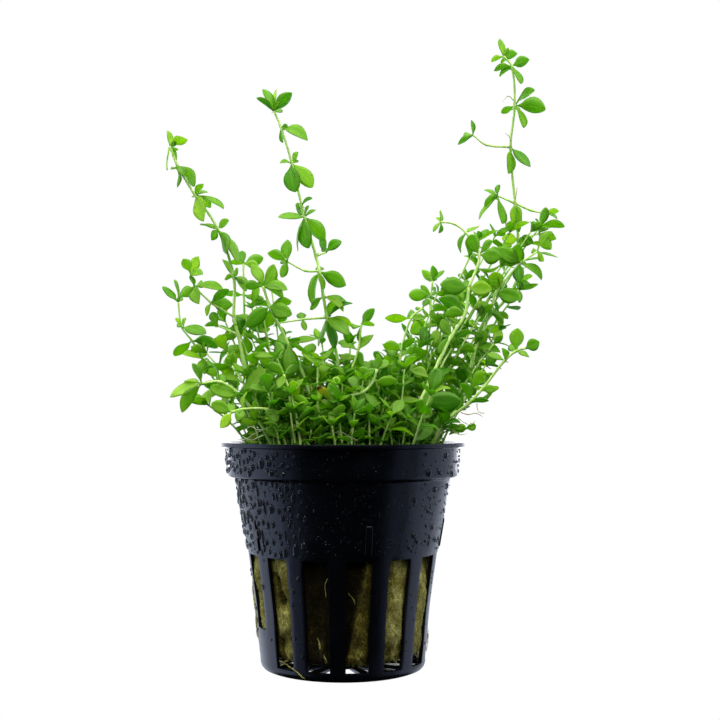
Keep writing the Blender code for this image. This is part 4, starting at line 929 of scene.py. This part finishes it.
# Tall and long shoots. Each grew from its own root in the plug, and bears short side branches at some nodes.
# Their nodes and leaves lie as on this plant. A node is (x, y, z) in mm with what grows there: a leaf is
# (x, y, z of its tip from the node, width that shows from the front, and a tone of its own if it has one),
# and a list is a side branch.
LEFT_TALL = [
    ((-14, -4, 0), []),
    ((-20, -5, 58), []),
    ((-23.5, -6, 74), [(-4.5, 2, -1.5, 1.5), [((-28, -6, 76), [(-1.5, 1, 3, 2), (-3, -2, 0, 1)])]]),
    ((-24.4, -6, 78), [
        (4.5, 2, -1, 1.2),
        [
            ((-27.5, -7, 79.8), []),
            ((-29.6, -8, 81.2), [(4, -2, 3, 1.5), (5, 2, -0.5, 3), (-1, -2, -3, 0.7)]),
            ((-33.2, -8, 84.8), [
                (6.5, 1, -1, 2), (1, -3, -4, 2.5), (-3.2, 1, -2.2, 2.2), (-1, -2, 2.5, 1.2),
            ]),
            ((-34.3, -8, 88), [(-1.5, -2, 3, 2.2), (2, 2, 3.5, 1.8), (3, -3, -0.5, 2)]),
        ],
    ]),
    ((-24.5, -6, 86.9), [
        (-2.5, 2, 4, 1.3), (-2, -2, -0.5, 1), (3, -2, -3, 2), (3.2, -1, -1.5, 1.6), (1, -2, 2, 1.2),
    ]),
    ((-28, -6, 97.6), [
        (-4, 3, 1, 1), (2.5, 2, 2, 1.2), (2, -3, -5.5, 2.2), (4.5, -1, -7.5, 2), (-1.5, -2, -2.5, 1.5),
    ]),
    ((-33.2, -6, 105.3), [
        (2, -1, 2.5, 1), (3.5, 3, -3, 1.5), (2, -3, -6, 3), (6.5, 0, -3.2, 1.4), (3, 1, 0.6, 1.0),
    ]),
    ((-37.1, -6, 111.9), [(4, -2, -4.5, 2.2), (0, 1, -5, 0.7), (1.5, -2, -2.5, 1.8)]),
    ((-38.8, -6, 116.2), [
        (-0.5, 1, 3.5, 1.2), (4, -2, 1.5, 1.6), (-0.5, -1, -5.5, 0.7), (1.5, 2, -3.5, 0.7), (1.5, -1, 1, 1.2),
    ]),
]
LEFT_INNER = [
    ((-15, 5, 0), []),
    ((-21.8, 4, 69), [(0, -3, 4.5, 2.7), (-5, 2, -1, 1.4)]),
    ((-22, 4, 76), [(4.5, 2, -1.5, 2), (-4.5, -2, -2, 1.8)]),
    ((-22.2, 4, 82.9), [(4.5, -2, -1, 1.6), (-4.5, 1, 0, 1.2)]),
    ((-22.3, 4, 89.8), [(-0.5, 2, 3, 2), (3.5, -2, -1, 2), (4.5, 1, 1.4, 2.4), (-3, -1, 0.5, 1.2)]),
]
LEFT_BACK = [
    ((-12, 10, 0), []),
    ((-27, 7, 61), [(-5, 2, -1, 2), (4, 3, 2, 2)]),
    ((-31.5, 6, 68.6), [(-4.5, -1, 1, 1.6), (-0.5, 3, 2.5, 1.6), (0.5, -3, -3.5, 2.3), (3, -2, -4, 2.7)]),
    ((-33.8, 6, 72.6), [(5.5, 3, -1, 2.5), (-4, 2, -3.4, 1.8), (5.8, -1, -1.5, 2.4)]),
    ((-36.1, 6, 75.7), [(-1.5, -1, 2, 0.9), (1, 2, 2, 0.7), (5.5, -2, -1.5, 2.5)]),
    ((-36.9, 6, 81.3), [(-3.5, 1, 3.5, 1.6), (2.5, -2, 3.5, 1), (-1, 1, 5, 0.7)]),
]
LEFT_ARCH = [
    ((-11, -12, 0), []),
    ((-18.7, -13, 54.5), [(5, -2, 1, 1.2)]),
    ((-22.8, -14, 60.2), [(-7, -1, 2, 2.7), (5.5, -2, 6, 3)]),
    ((-27.5, -15, 63.4), [(-3, 2, 5, 0.7)]),
    ((-31.6, -16, 63), [
        (-4, 2, 0.5, 0.7), (-4.5, -1, -6.5, 2.2), (-7.2, 1, -3.0, 2.6), (-2.2, -1, 4.6, 1.8),
    ]),
]
FRONT_ARCH = [
    ((-5, -15, 0), []),
    ((-11.5, -15.5, 54.6), []),
    ((-16.8, -18, 57.2), [(1, -2, 4, 1.2), (2.2, -1.5, -2.6, 2.4)]),
    ((-22.4, -20, 57.3), [(-1.5, -2, -2.5, 2.2), (1, 2, 4, 1)]),
    ((-25, -20, 56.6), [(-4.5, 1, 2, 2.7), (-2.5, -2, -3.5, 2)]),
]
FRONT_LEFT = [
    ((-7.5, -18.5, 0), []),
    ((-10.2, -19, 54.5), [(-3, -2, -4, 2.7), (4, -1, 2.5, 1.8)]),
    ((-11.5, -18, 60), [(-4.5, 0, 1, 2), (4, -2, -1.5, 1.6)]),
    ((-13.3, -17, 65), [(-3.5, -1, 2.5, 2), (3.5, 1, 2.5, 2), (-1, -3, -3, 2)]),
]
MIDDLE_LEFT = [
    ((-5, -6, 0), []),
    ((-8, -8, 62.5), [(-5.5, -2, 1, 2.2), (4.5, 2, 2, 1.6)]),
    ((-12.4, -8, 72.1), [(-3, -2, -1.5, 2), (0.5, -2, -7, 3.6), (5.5, -2, -3, 0.8), (6.5, 1, 1, 1.6)]),
    ((-16.4, -8, 80.4), [(5, -3, -2, 3.4), (5, 1, 1, 1.3), (-5.5, -2, -4.5, 3)]),
    ((-17.9, -8, 84.8), [
        (-2.5, 1, 5, 2.2), (2.5, 2, 5, 2.5), (5.5, -1, -0.8, 2.4), (-4, -2, 0.5, 2), (4.6, -2, -2.6, 1.8),
    ]),
]
SECOND_TALL = [
    ((0, 1, 0), []),
    ((-1.2, 1, 67.8), [(-4, -2, 2, 1.6), (4, 2, 1.5, 1.6)]),
    ((-3.6, 1, 77.8), [
        (1.5, -2, -7, 2.2),
        (-2, 2, -6.5, 0.8),
        (5, -3, -4, 3),
        (5.5, 1, -2, 1.4),
        (2.2, 2, 3.5, 1.7),
        (5.8, -1, 3.2, 1.2),
        [
            ((-9, 0, 77.4), [(0.5, -1, -2.5, 1.3)]),
            ((-14.9, -1, 76.5), [(1.5, 0, 2.5, 0.8), (2, -1, -4, 0.8)]),
        ],
    ]),
    ((-4.4, 1, 82.6), [(4.5, -2, -3.5, 1.8), (5.5, 2, -1.5, 1.2), (-3, -2, -3, 1.3)]),
    ((-5.3, 1, 88.2), [
        (6, -2, -3.2, 3.0),
        (3.5, 3, -2.5, 2),
        (-1.6, -2, -7.6, 1.8),
        (0.9, -2, -4.2, 1.4),
        [((-8.5, 0, 88.3), []), ((-12.4, -1, 90.3), [(0, 1, 5, 2.5), (-4.5, -1, 2, 2), (-1.5, 2, -3.5, 2)])],
    ]),
    ((-6.1, 2, 91.6), [[((-3.8, 3, 92.4), [(-1.5, 2, 3.5, 1.6), (3.5, -1, 2.5, 2.2)])]]),
    ((-8.6, 2, 100.3), [
        (-6, -1, 0, 2), (-2, 2, 3, 1.6), (1, -2, -7, 3.1), (4.5, 1, -5.5, 3.1), (2.6, 1, 1.6, 0.9),
        (1, -1, 2.6, 0.8), (-1.5, 2, -7.8, 0.8),
    ]),
    ((-9.3, 2, 103), [(2.5, -1, 1.5, 1)]),
    ((-11.5, 2, 112.4), [(1, -2, -6.5, 3.6), (4.7, 1, -5.5, 3.4), (1.5, 2, 2.5, 1), (-2.7, -1, 0, 1)]),
    ((-13.9, 2, 120.4), [(6, -1, -3, 3), (0.5, 2, -3.5, 0.8), (1.5, -1, 0.5, 0.9)]),
    ((-15.4, 2, 124), [
        (-2.5, 1, 5, 2), (-4, -2, 3, 0.8), (0.5, 2, 5, 1.3), (4, -1, 4.2, 2.2), (1.2, -1, 2.2, 0.9),
    ]),
]
CENTRE_LOW = [
    ((-2, -17, 0), []),
    ((-1.7, -19, 58.5), [(1, -2, -4.5, 2.4), [((-2.2, -22.5, 59.0), [(-3.7, 0, 3.2, 1.7, OLD_TONE)])]]),
    ((4.6, -19, 61.2), [(-1, -1, -4.5, 2.2), (3.5, -1, -4, 1.8)]),
    ((6.7, -18, 63.6), [(-3, -1, 3, 2.2), (5.5, 1, 0, 2.2)]),
    ((7.6, -18, 66.2), [(2.5, 2, 2, 1.8), (0, -1, 3.5, 1.3)]),
]
CENTRE_SMALL = [
    ((3, -6, 0), []),
    ((1.5, -7, 64), [(-4.5, -2, 2, 2.4), (4, -2, 1, 2)]),
    ((3.4, -7, 70.5), [(3.5, 1, 3.5, 1.8), (1, -2, -3.5, 1.6), (-4, 2, 1, 1.2)]),
    ((4.1, -7, 76.3), [(3, 1, 3.5, 2), (3, -2, 0, 1), (0.5, 2, -4.5, 0.9)]),
]
CENTRE_RIGHT = [
    ((9, -8, 0), []),
    ((13.1, -8, 70.3), [(-4, -2, 1.5, 2), (3, -2, 3, 1.6)]),
    ((15.3, -8, 77.7), [(-6, 0, 0, 1.6), (3, -2, 0, 1.6)]),
    ((17.8, -8, 79.9), [(1.5, 1, 2, 1.3), (1, -2, -2, 1)]),
]
INNER_RIGHT = [
    ((12, 5, 0), []),
    ((18, 5, 66), [(-5, 1, 1, 2), (4.5, -2, 1, 2)]),
    ((19.5, 5, 76.4), [(-4.5, -1, -2, 3.5), (4, 2, 1.5, 1.6)]),
    ((19.6, 5, 80.1), [(1, -2, -3.5, 1.6), (-2, 2, 3, 1)]),
    ((19.7, 5, 82.9), [(-5, -1, 0, 2.7), (-2.4, 1, 2, 1.2)]),
    ((20.1, 5, 86), [(-2.5, 1, 2.5, 1.8), (0, -2, 3.5, 1.6), (2.6, 1, 2.4, 1.1)]),
]
RIGHT_MAIN = [
    ((9, -14, 0), []),
    ((15.6, -15, 55.5), [(1, -2, -4, 3)]),
    ((17.5, -15, 59.4), [(9, -3, -0.3, 4.3, 0.15), (-5.5, -1, -1.5, 2.2)]),
    ((19.6, -14, 64), [(-4.5, 1, 2, 2), (4.5, 2, 2, 1.4)]),
    ((24.2, -12, 73.5), [(-3, -2, -3.5, 1.8), (4.5, 1, 1, 1.4), (-2, 1, 4, 2.2)]),
    ((27.3, -11, 78.6), [(-6, 1, 3.5, 2.6), (-4.5, -2, 0, 2.2)]),
    ((28.2, -10, 84.5), [
        (-6.5, -1, 0.8, 3.8),
        (5.2, -2, -0.5, 3.2),
        [
            ((30.5, -9, 91.9), [(5, -1, -0.5, 3.4), (-2, -2, 4.5, 3.1), (3, 2, 3, 1.4)]),
            ((27.5, -8, 96.8), [(-1.1, -1, -4.5, 0.8), (3, 2, 1.5, 1)]),
            ((24.8, -8, 98.8), []),
            ((21.9, -8, 99.2), [
                (-1, 1, 1, 0.8), (-0.5, -1, -2.5, 0.9), (-1.7, 0, -2.2, 0.9), (0, 2, 2.6, 0.9),
            ]),
        ],
    ]),
]
RIGHT_OUTER = [
    ((17, -1, 0), []),
    ((28.4, -2, 66.7), [(-4.5, 2, 2, 2), (4, -2, -2, 1.6)]),
    ((29.8, -2, 71), [(5.5, -2, -1, 2), (2, -1, 4, 2.7), (-4, 2, 1, 1.6)]),
    ((33, -2, 79), [(3, -1, -2.5, 1.1), (4, 2, -1.5, 1.1), (-4.5, -1, 1.5, 1.8)]),
    ((34.4, -2, 83.6), [(5, -2, -1.5, 3.4), (-0.5, -2, 4.5, 3.3), (-4, 3, 1, 1.4)]),
    ((39.7, -2, 90), [
        (-3.5, 1, 0.7, 2.5),
        (0, -2, -4.5, 2.2),
        (4.8, 1, -3.8, 2.2),
        (-5.5, -1, 3.5, 3.4),
        [((43.5, -1, 92.6), [(4.6, 1, -1.3, 0.9), (3.5, 2, 4.4, 0.9), (1.5, -2, -2.2, 1.1)])],
    ]),
]
RIGHT_TALL = [
    ((13, 11, 0), []),
    ((27.3, 11, 63.8), [(5, 2, 1, 2), (-4, -2, 2, 2)]),
    ((30.7, 11, 75), [(5, -2, 0, 2), (-4, 2, 2, 2)]),
    ((38.5, 10, 85.1), [(1, -2, -4, 2), (4, 2, 2, 1.4)]),
    ((39.2, 9, 95.2), [
        (3.5, -2, -0.5, 2.7),
        (-3.7, 0, 0.4, 2.7),
        [((43.8, 10, 96.6), [(4, 0, -1.2, 2.0), (2.5, 2, 2.5, 1), (2.8, -1, -3.6, 2.4)])],
    ]),
    ((38.5, 9, 103.4), [
        (1, -2, -6.5, 2.2),
        (-0.6, -1, -4.8, 2.4),
        [((34.6, 8, 105.1), [
            (0.2, 1, 2.5, 1.1), (-3, 0, 1.2, 1.1), (-3, -2, -2.2, 1.3), (1, -3, -6.3, 2.4),
            (-2.2, 1, -0.6, 1.2), (-4.2, 1, -5.4, 0.9),
        ])],
        [((42.1, 10, 101.8), []), ((45, 11, 101.2), [(3.4, 1, 0.4, 1.3), (3, -1, -1.4, 0.9)])],
    ]),
    ((37.5, 9, 116), [
        (-0.5, -2, -6, 2.5),
        (4.5, -1, -4.5, 2.7),
        [
            ((32, 8, 116.5), []),
            ((29.1, 8, 118.7), [(-2.6, 1, -1.5, 1.1), (-0.4, -1, 3.4, 0.8), (-3.4, -1, -2.2, 0.8)]),
        ],
    ]),
    ((38.4, 9, 125.2), [(7, -1, -0.8, 2.9), (4.6, 2, 3.5, 1.1), (-3, 1, -1.6, 1.3), (2, -2, -5, 2.2)]),
    ((37.8, 9, 134.1), [(4, 1, 1.5, 2.2), (-4, -1, -1, 0.9), (2, -2, -4, 2), (-2.8, 2, -2.4, 0.8)]),
    ((35.9, 9, 136.3), [(-0.8, 1, 4, 1.8), (3.2, 2, 0.6, 1.8), (-2.7, -1, -1, 1), (1.2, -1, 2, 1)]),
]
RIGHT_LOW = [
    ((16, -9, 0), []),
    ((22, -13, 53.2), [
        (4.5, -2, -0.5, 1),
        (-1.5, -3, 1.5, 3),
        (0.8, -2, -2.4, 1.1, OLD_TONE),
        [
            ((24.8, -14, 52.4), [(2.6, -1, 1.2, 1.8), (1.8, 0, -1.6, 1.0)]),
            ((27.4, -14, 53), [(2.4, 0, 0.6, 1.6)]),
        ],
    ]),
    ((28.2, -14, 58.7), [(4.5, -1, 0.5, 1.1), (-2, -2, 4.5, 1.6)]),
    ((31.4, -14, 62.1), [(3.2, -2, -0.4, 1.8), (2.5, 2, 3, 1.3)]),
    ((36.2, -14, 68.2), [(-0.5, -2, 2.8, 1.2), (-4, 1, 1.5, 1.6)]),
    ((38.7, -14, 70.3), [(0.4, -1, 5.2, 3.0), (3, -1, -1.4, 1.2)]),
    ((40.8, -14, 71.0), [(3.2, 0, 1.4, 2.6)]),
]
# Each shoot with its node in the frame, how light its leaves are, and its stem's radius in mm at the foot.
TALL_SHOOTS = [
    ("left_tall", LEFT_TALL, 0.55, 0.44),
    ("left_inner", LEFT_INNER, 0.5, 0.40),
    ("left_back", LEFT_BACK, 0.55, 0.36),
    ("left_arch", LEFT_ARCH, 0.6, 0.44),
    ("front_arch", FRONT_ARCH, 0.62, 0.42),
    ("front_left", FRONT_LEFT, 0.55, 0.40),
    ("middle_left", MIDDLE_LEFT, 0.55, 0.50),
    ("second_tall", SECOND_TALL, 0.42, 0.44),
    ("centre_low", CENTRE_LOW, 0.55, 0.42),
    ("centre_small", CENTRE_SMALL, 0.5, 0.34),
    ("centre_right", CENTRE_RIGHT, 0.5, 0.36),
    ("inner_right", INNER_RIGHT, 0.5, 0.36),
    ("right_main", RIGHT_MAIN, 0.45, 0.52),
    ("right_outer", RIGHT_OUTER, 0.5, 0.46),
    ("right_tall", RIGHT_TALL, 0.52, 0.46),
    ("right_low", RIGHT_LOW, 0.5, 0.42),
]
PLUG_TOP = 41.2
ROOT_DEPTH = 0.6
LEAF_ASPECT = 0.52
LEAF_FULLNESS = 1.06
BRANCH_SHARE = 0.62
BACK_LEAF_CHANCE = 0.75


def seen(x, y, z):
    """A measured place. x and z hold on the plane through the axis, and y moves it along the sight line."""
    share = (EYE_DISTANCE + y) / EYE_DISTANCE
    return np.array((x * share, y, EYE_HEIGHT + (z - EYE_HEIGHT) * share))


def measured_leaf(node, leaf, tone, draw):
    """A leaf turned about its own length until its blade shows the width that it has from the front."""
    x, y, z = node
    right, away, up, shown = leaf[:4]
    base, tip = seen(x, y, z), seen(x + right, y + away, z + up)
    along = (tip - base) / np.linalg.norm(tip - base)
    width = max(shown, LEAF_ASPECT * np.linalg.norm(tip - base))
    flat = np.cross(along, (0, 1, 0))
    flat /= np.linalg.norm(flat)
    edge = np.cross(along, flat)
    facing = shown / width
    across = flat * facing + edge * math.sqrt(1 - facing * facing) * (1 if draw.random() < 0.5 else -1)
    if np.cross(along, across)[2] < 0:
        across = -across
    droop = draw.uniform(-0.02, 0.08) if facing < 0.6 else draw.uniform(-0.04, 0.12)
    leaf_tone = leaf[4] if len(leaf) > 4 else float(np.clip(draw.normal(tone, 0.16), 0, 1))
    return lay_leaf(base, tip, across, width * LEAF_FULLNESS, draw, leaf_tone, droop)


def grow(nodes, radius, tone, draw, stems, leaves, start=None):
    """Adds the stem through these nodes and what they bear, with a small leaf behind most nodes. start is the
    node that a side branch grows from."""
    places = [seen(*place) for place, _ in nodes]
    if start is None:
        x, y, _ = nodes[0][0]
        places[0] = np.array((x, y, PLUG_TOP - ROOT_DEPTH))
    stems.append(([start] * (start is not None) + places, radius))
    for (place, growth), node in zip(nodes, places):
        for item in growth:
            if isinstance(item, list):
                grow(item, radius * BRANCH_SHARE, tone, draw, stems, leaves, node)
            else:
                leaves.append(measured_leaf(place, item, tone, draw))
        if growth and draw.random() < BACK_LEAF_CHANCE:
            aim = np.array((draw.normal(0, 0.35), 1.0, draw.uniform(-0.1, 0.7)))
            length = draw.uniform(2.8, 4.6)
            tip = node + aim / np.linalg.norm(aim) * length
            leaves.append(lay_leaf(node, tip, np.array((1.0, 0, 0.1)), length * 0.58, draw, tone))


def lower_nodes(start, end, spacing, highest):
    """Nodes along the bare lower length of a shoot, a leaf pair apart, up to this height."""
    count = max(2, round(float(np.linalg.norm(end - start)) / spacing))
    nodes = start + (end - start) * np.linspace(0, 1, count + 1)[:, None]
    return nodes[nodes[:, 2] < highest]


LOWER_SPACING = 4.2
LOWER_TOP = 66.0
LOWER_LEAF_LENGTHS = (4.0, 6.2)
for seed, (name, nodes, tone, radius) in enumerate(TALL_SHOOTS):
    draw = np.random.default_rng(100 + seed)
    stems, leaves = [], []
    grow(nodes, radius, tone, draw, stems, leaves)
    foot, second = stems[0][0][:2]
    lower = lower_nodes(foot, second, LOWER_SPACING, LOWER_TOP)
    # Leaves low on a tall shoot are painted a little darker than the rest, as painted shade.
    leaves += paired_leaves(lower, draw, LOWER_LEAF_LENGTHS, tone - 0.1)
    stem_piece(f"{name}_stems", stems, (f"shoot_{name}",))
    leaf_piece(f"{name}_leaves", leaves, FULL_ROWS, (f"shoot_{name}",))


# Bush. Short leafy shoots crowd the pot between the tall ones, each with crosswise pairs of leaves up to its
# tip, which leans out towards the rim. A shoot is the root's place on the plug and the tip's place.
BUSH_SHOOTS = [
    ((0, -11), (-3, -15, 57)),
    ((6, -17), (10, -22, 56)),
    ((13, -16), (18, -22, 60)),
    ((-15, -9), (-20, -13, 64)),
    ((-19, -2), (-29, -8, 58)),
    ((-18, 8), (-29, 14, 62)),
    ((-10, 3), (-14, 2, 70)),
    ((6, -1), (9, -1, 66)),
    ((5, 8), (5, 12, 62)),
    ((-5, 12), (-9, 17, 63)),
    ((-12, 15), (-18, 22, 58)),
    ((0, 18), (-1, 27, 57)),
    ((5, 17), (8, 25, 66)),
    ((19, 8.5), (27, 13, 80)),
    ((18, 2), (31, 4, 69)),
    ((19, -6), (27, -8, 60)),
    ((9, 14), (17, 18, 77)),
    ((-6, -12), (-14, -15, 68)),
    ((18, 10), (30, 18, 68)),
    ((-19, 3), (-31, 4, 70)),
    ((14, -3), (20, -5, 71)),
]
BUSH_STEM_RADIUS = 0.3
BUSH_SPACING = 3.4
BUSH_LEAF_LENGTHS = (3.8, 6.2)
LEFT_EDGE = -17.0
EDGE_BEND = 2.3


def leaning_path(root, tip, spacing, bend=1.5):
    """Nodes of a shoot that leans out. The share sideways is the share upwards to the power bend."""
    start, end = np.array((*root, PLUG_TOP - 0.5)), np.array(tip, float)
    count = max(2, round(float(np.linalg.norm(end - start)) / spacing))
    at = np.linspace(0, 1, count + 1)[:, None]
    return start + (end - start) * np.concatenate((at**bend, at**bend, at), 1)


# Those at the left edge rise higher before they lean over the rim.
for number, (root, tip) in enumerate(BUSH_SHOOTS, 1):
    draw = np.random.default_rng(300 + number)
    node = f"shoot_bush_{number:02d}"
    path = leaning_path(root, tip, BUSH_SPACING, EDGE_BEND if root[0] < LEFT_EDGE else 1.5)
    leaves = paired_leaves(path, draw, BUSH_LEAF_LENGTHS, 0.5, first=2)
    stem_piece(f"bush_{number:02d}_stem", [(path, BUSH_STEM_RADIUS)], (node,))
    leaf_piece(f"bush_{number:02d}_leaves", leaves, FULL_ROWS, (node,), HANGING_CLEAR)


# Thickets. Thinner shoots fill the spaces between the tall ones on both sides. They lean on them and reach
# no further than they do, and most are hidden but for their leaves.
LEFT_THICKET = [
    ((-13, 0), (-17.8, -2, 78)), ((-14, 3), (-20.4, 2, 80)), ((-16, 2), (-26.4, 0, 77)),
    ((-14, -7), (-26.0, -6, 70)), ((-12, 8), (-20.4, 6, 73)), ((-12, -10), (-24.9, -10, 67)),
    ((-9, -12), (-19.3, -12, 67)), ((-5, 4), (-8.5, 3, 68)), ((-2, 7), (-4.7, 6, 72)), ((1, 3), (1.6, 2, 71)),
    ((-12, 4), (-16.0, 6, 84)), ((-16, -5), (-24.0, -3, 62)), ((-8, -3), (-13.0, -5, 70)),
    ((-15, 0), (-23.0, -4, 74)), ((-13, 5), (-17.5, 3, 75)), ((-10, -6), (-16.5, -9, 66)),
    ((-3, 0), (-6.5, -2, 64)),
]
RIGHT_THICKET = [
    ((14, 4), (34.0, 4, 96)), ((15, 6), (37.4, 6, 97)), ((12, 2), (30.2, 0, 95)), ((17, 7), (42.0, 6, 97)),
    ((16, 9), (44.0, 9, 98)), ((15, 6), (35.2, 6, 89)), ((13, -4), (31.8, -4, 84)), ((18, 1), (39.4, 0, 90)),
    ((18, 4), (39.4, 4, 84)), ((12, 3), (27.4, 3, 86)), ((10, 1), (21.0, 0, 83)), ((12, -2), (25.7, -2, 81)),
    ((14, -5), (30.7, -4, 78)), ((18, 2), (35.0, 2, 75)), ((9, -6), (17.2, -6, 71)),
    ((12, -9), (24.4, -9, 71)), ((17, -4), (33.8, -4, 72)), ((17, -7), (31.9, -6, 67)),
    ((16, -11), (29.0, -10, 62)), ((15, -11), (25.4, -12, 57)),
]
# The right one has shed more of its leaves.
THICKETS = (("left_thicket", LEFT_THICKET, 0.1), ("right_thicket", RIGHT_THICKET, 0.35))
THICKET_STEM_RADIUS = 0.3
THICKET_SPACING = 4.1
THICKET_LEAF_LENGTHS = (3.6, 6.0)
for seed, (name, shoots, shed) in enumerate(THICKETS):
    draw = np.random.default_rng(500 + seed)
    stems, leaves = [], []
    for root, tip in shoots:
        path = leaning_path(root, seen(*tip), THICKET_SPACING)
        stems.append((path, THICKET_STEM_RADIUS))
        leaves += paired_leaves(path, draw, THICKET_LEAF_LENGTHS, 0.5, first=2, shed=shed)
    stem_piece(f"{name}_stems", stems)
    leaf_piece(f"{name}_leaves", leaves, FULL_ROWS, clear=HANGING_CLEAR)


# Undergrowth. Countless short sprigs cover the plug between the shoots, so that neither the wool nor the
# inside of the pot shows. They are too many and too fine to be solids of their own.
draw = np.random.default_rng(77)
SPRIG_COUNT = 150
EDGE_SPRIG_COUNT = 80
SPRIG_STEM_RADIUS = 0.25
SPRIG_SPACING = 3.6
SPRIG_LEAF_LENGTHS = (3.0, 5.2)
SPRIG_SPREAD = 20.0
sprig_radius = SPRIG_SPREAD * np.sqrt(draw.random(SPRIG_COUNT))
sprig_angle = draw.uniform(0, 360, SPRIG_COUNT)
roots = around(sprig_radius, sprig_angle, np.zeros(SPRIG_COUNT))
tips = roots * (1 + 0.12 * sprig_radius / SPRIG_SPREAD)[:, None]
# Their crown is a low dome, higher on the right and lower at the left edge.
crown = 56.5 + 6.5 * (1 - (sprig_radius / 22.0) ** 2)
crown = crown + np.where(tips[:, 0] > 8, 4.5, 0) - np.where(tips[:, 0] < -16, 3.0, 0)
tips[:, 2] = np.clip(crown + draw.normal(0, 2.2, SPRIG_COUNT), 51, 70)
# The lowest ones stand along the front edge and hide the stems behind the rim.
edge_draw = np.random.default_rng(78)
edge_place = around(
    edge_draw.uniform(14.5, 20.5, EDGE_SPRIG_COUNT), edge_draw.uniform(-75, 75, EDGE_SPRIG_COUNT),
    edge_draw.uniform(51.5, 56.0, EDGE_SPRIG_COUNT),
)
stems, leaves = [], []
for root, tip in zip(np.concatenate((roots, edge_place)), np.concatenate((tips, edge_place))):
    astray = (draw.normal(0, 1.4), draw.normal(0, 1.4), 0)
    path = leaning_path(root[:2], tip + astray, SPRIG_SPACING)
    stems.append((path, SPRIG_STEM_RADIUS))
    leaves += paired_leaves(path, draw, SPRIG_LEAF_LENGTHS, 0.5, first=2)
stem_piece("undergrowth_stems", stems)
leaf_piece("undergrowth_leaves", leaves, SMALL_ROWS, clear=HANGING_CLEAR)


# Roots. Fine white roots have crept out of the plug over the rim, and a few stand off nodes of the shoots.
# They are translucent and brown as they dry. Each is a line of measured places.
white_root, tree, shader, place = new_finish("fine_white_root")
# Some lengths have browned, about 3 mm each.
browned = add_node(tree, "TexNoise", {"Vector": place, "Scale": 330.0, "Detail": 2.0}).outputs[0]
colour = add_node(tree, "ValToRGB", {"Fac": browned}, [(0.35, "#B9B98A"), (0.6, "#EEF2DC")])
bump = add_node(tree, "Bump", {"Height": browned, "Strength": 0.3, "Distance": 0.0001})
tree.links.new(colour.outputs[0], shader.inputs["Base Color"])
tree.links.new(bump.outputs[0], shader.inputs["Normal"])
shader.inputs["Roughness"].default_value = 0.45
shader.inputs["Subsurface Weight"].default_value = 0.3
shader.inputs["Subsurface Scale"].default_value = 0.0005
ROOT_RADIUS = 0.11
ROOTS = [
    [(-3.0, -19, 51.2), (-0.6, -20.5, 50.9), (1.2, -21.5, 50.4), (2.1, -22.5, 49.6)],
    [(-2.4, -19, 52.0), (-0.4, -20, 52.2), (1.0, -21, 51.4), (3.2, -22, 50.3)],
    [(-18.4, -14, 52.4), (-20.2, -15, 51.6), (-21.6, -14.5, 50.6), (-23.4, -14, 50.5)],
    [(-17.0, -15, 51.8), (-19.4, -15.5, 50.8), (-20.6, -16, 50.3), (-22.4, -15, 51.2)],
    [(-16.4, -15, 53.0), (-18.8, -16, 52.6), (-20.6, -15, 53.4), (-22.2, -14, 52.6)],
    [(30.0, -14, 58.5), (30.1, -14.5, 57.4), (30.6, -15, 56.6), (31.6, -15, 56.4)],
    [(25.8, -14, 55.3), (27.4, -14.5, 54.2), (28.6, -15, 53.9), (29.6, -15, 54.6)],
    [(26.4, -14, 56.6), (28.0, -14, 56.1), (29.8, -14, 56.4), (31.2, -14, 55.7)],
    [(23.6, -14, 53.6), (25.2, -15, 52.0), (26.6, -15.5, 51.6), (27.8, -15, 52.0)],
    [(38.2, 9, 126.4), (37.2, 8.5, 127.4), (36.4, 8.5, 127.0), (35.8, 8, 126.2)],
    [(37.5, 9, 117.0), (37.2, 8.0, 118.4), (36.2, 7.5, 119.2)],
    [(38.6, 9, 104.2), (38.8, 8.0, 105.6), (39.0, 7.6, 107.0)],
]
points, faces = stem_mesh([([seen(*node) for node in root], ROOT_RADIUS) for root in ROOTS])
make_piece("surface_roots", points, faces, white_root)
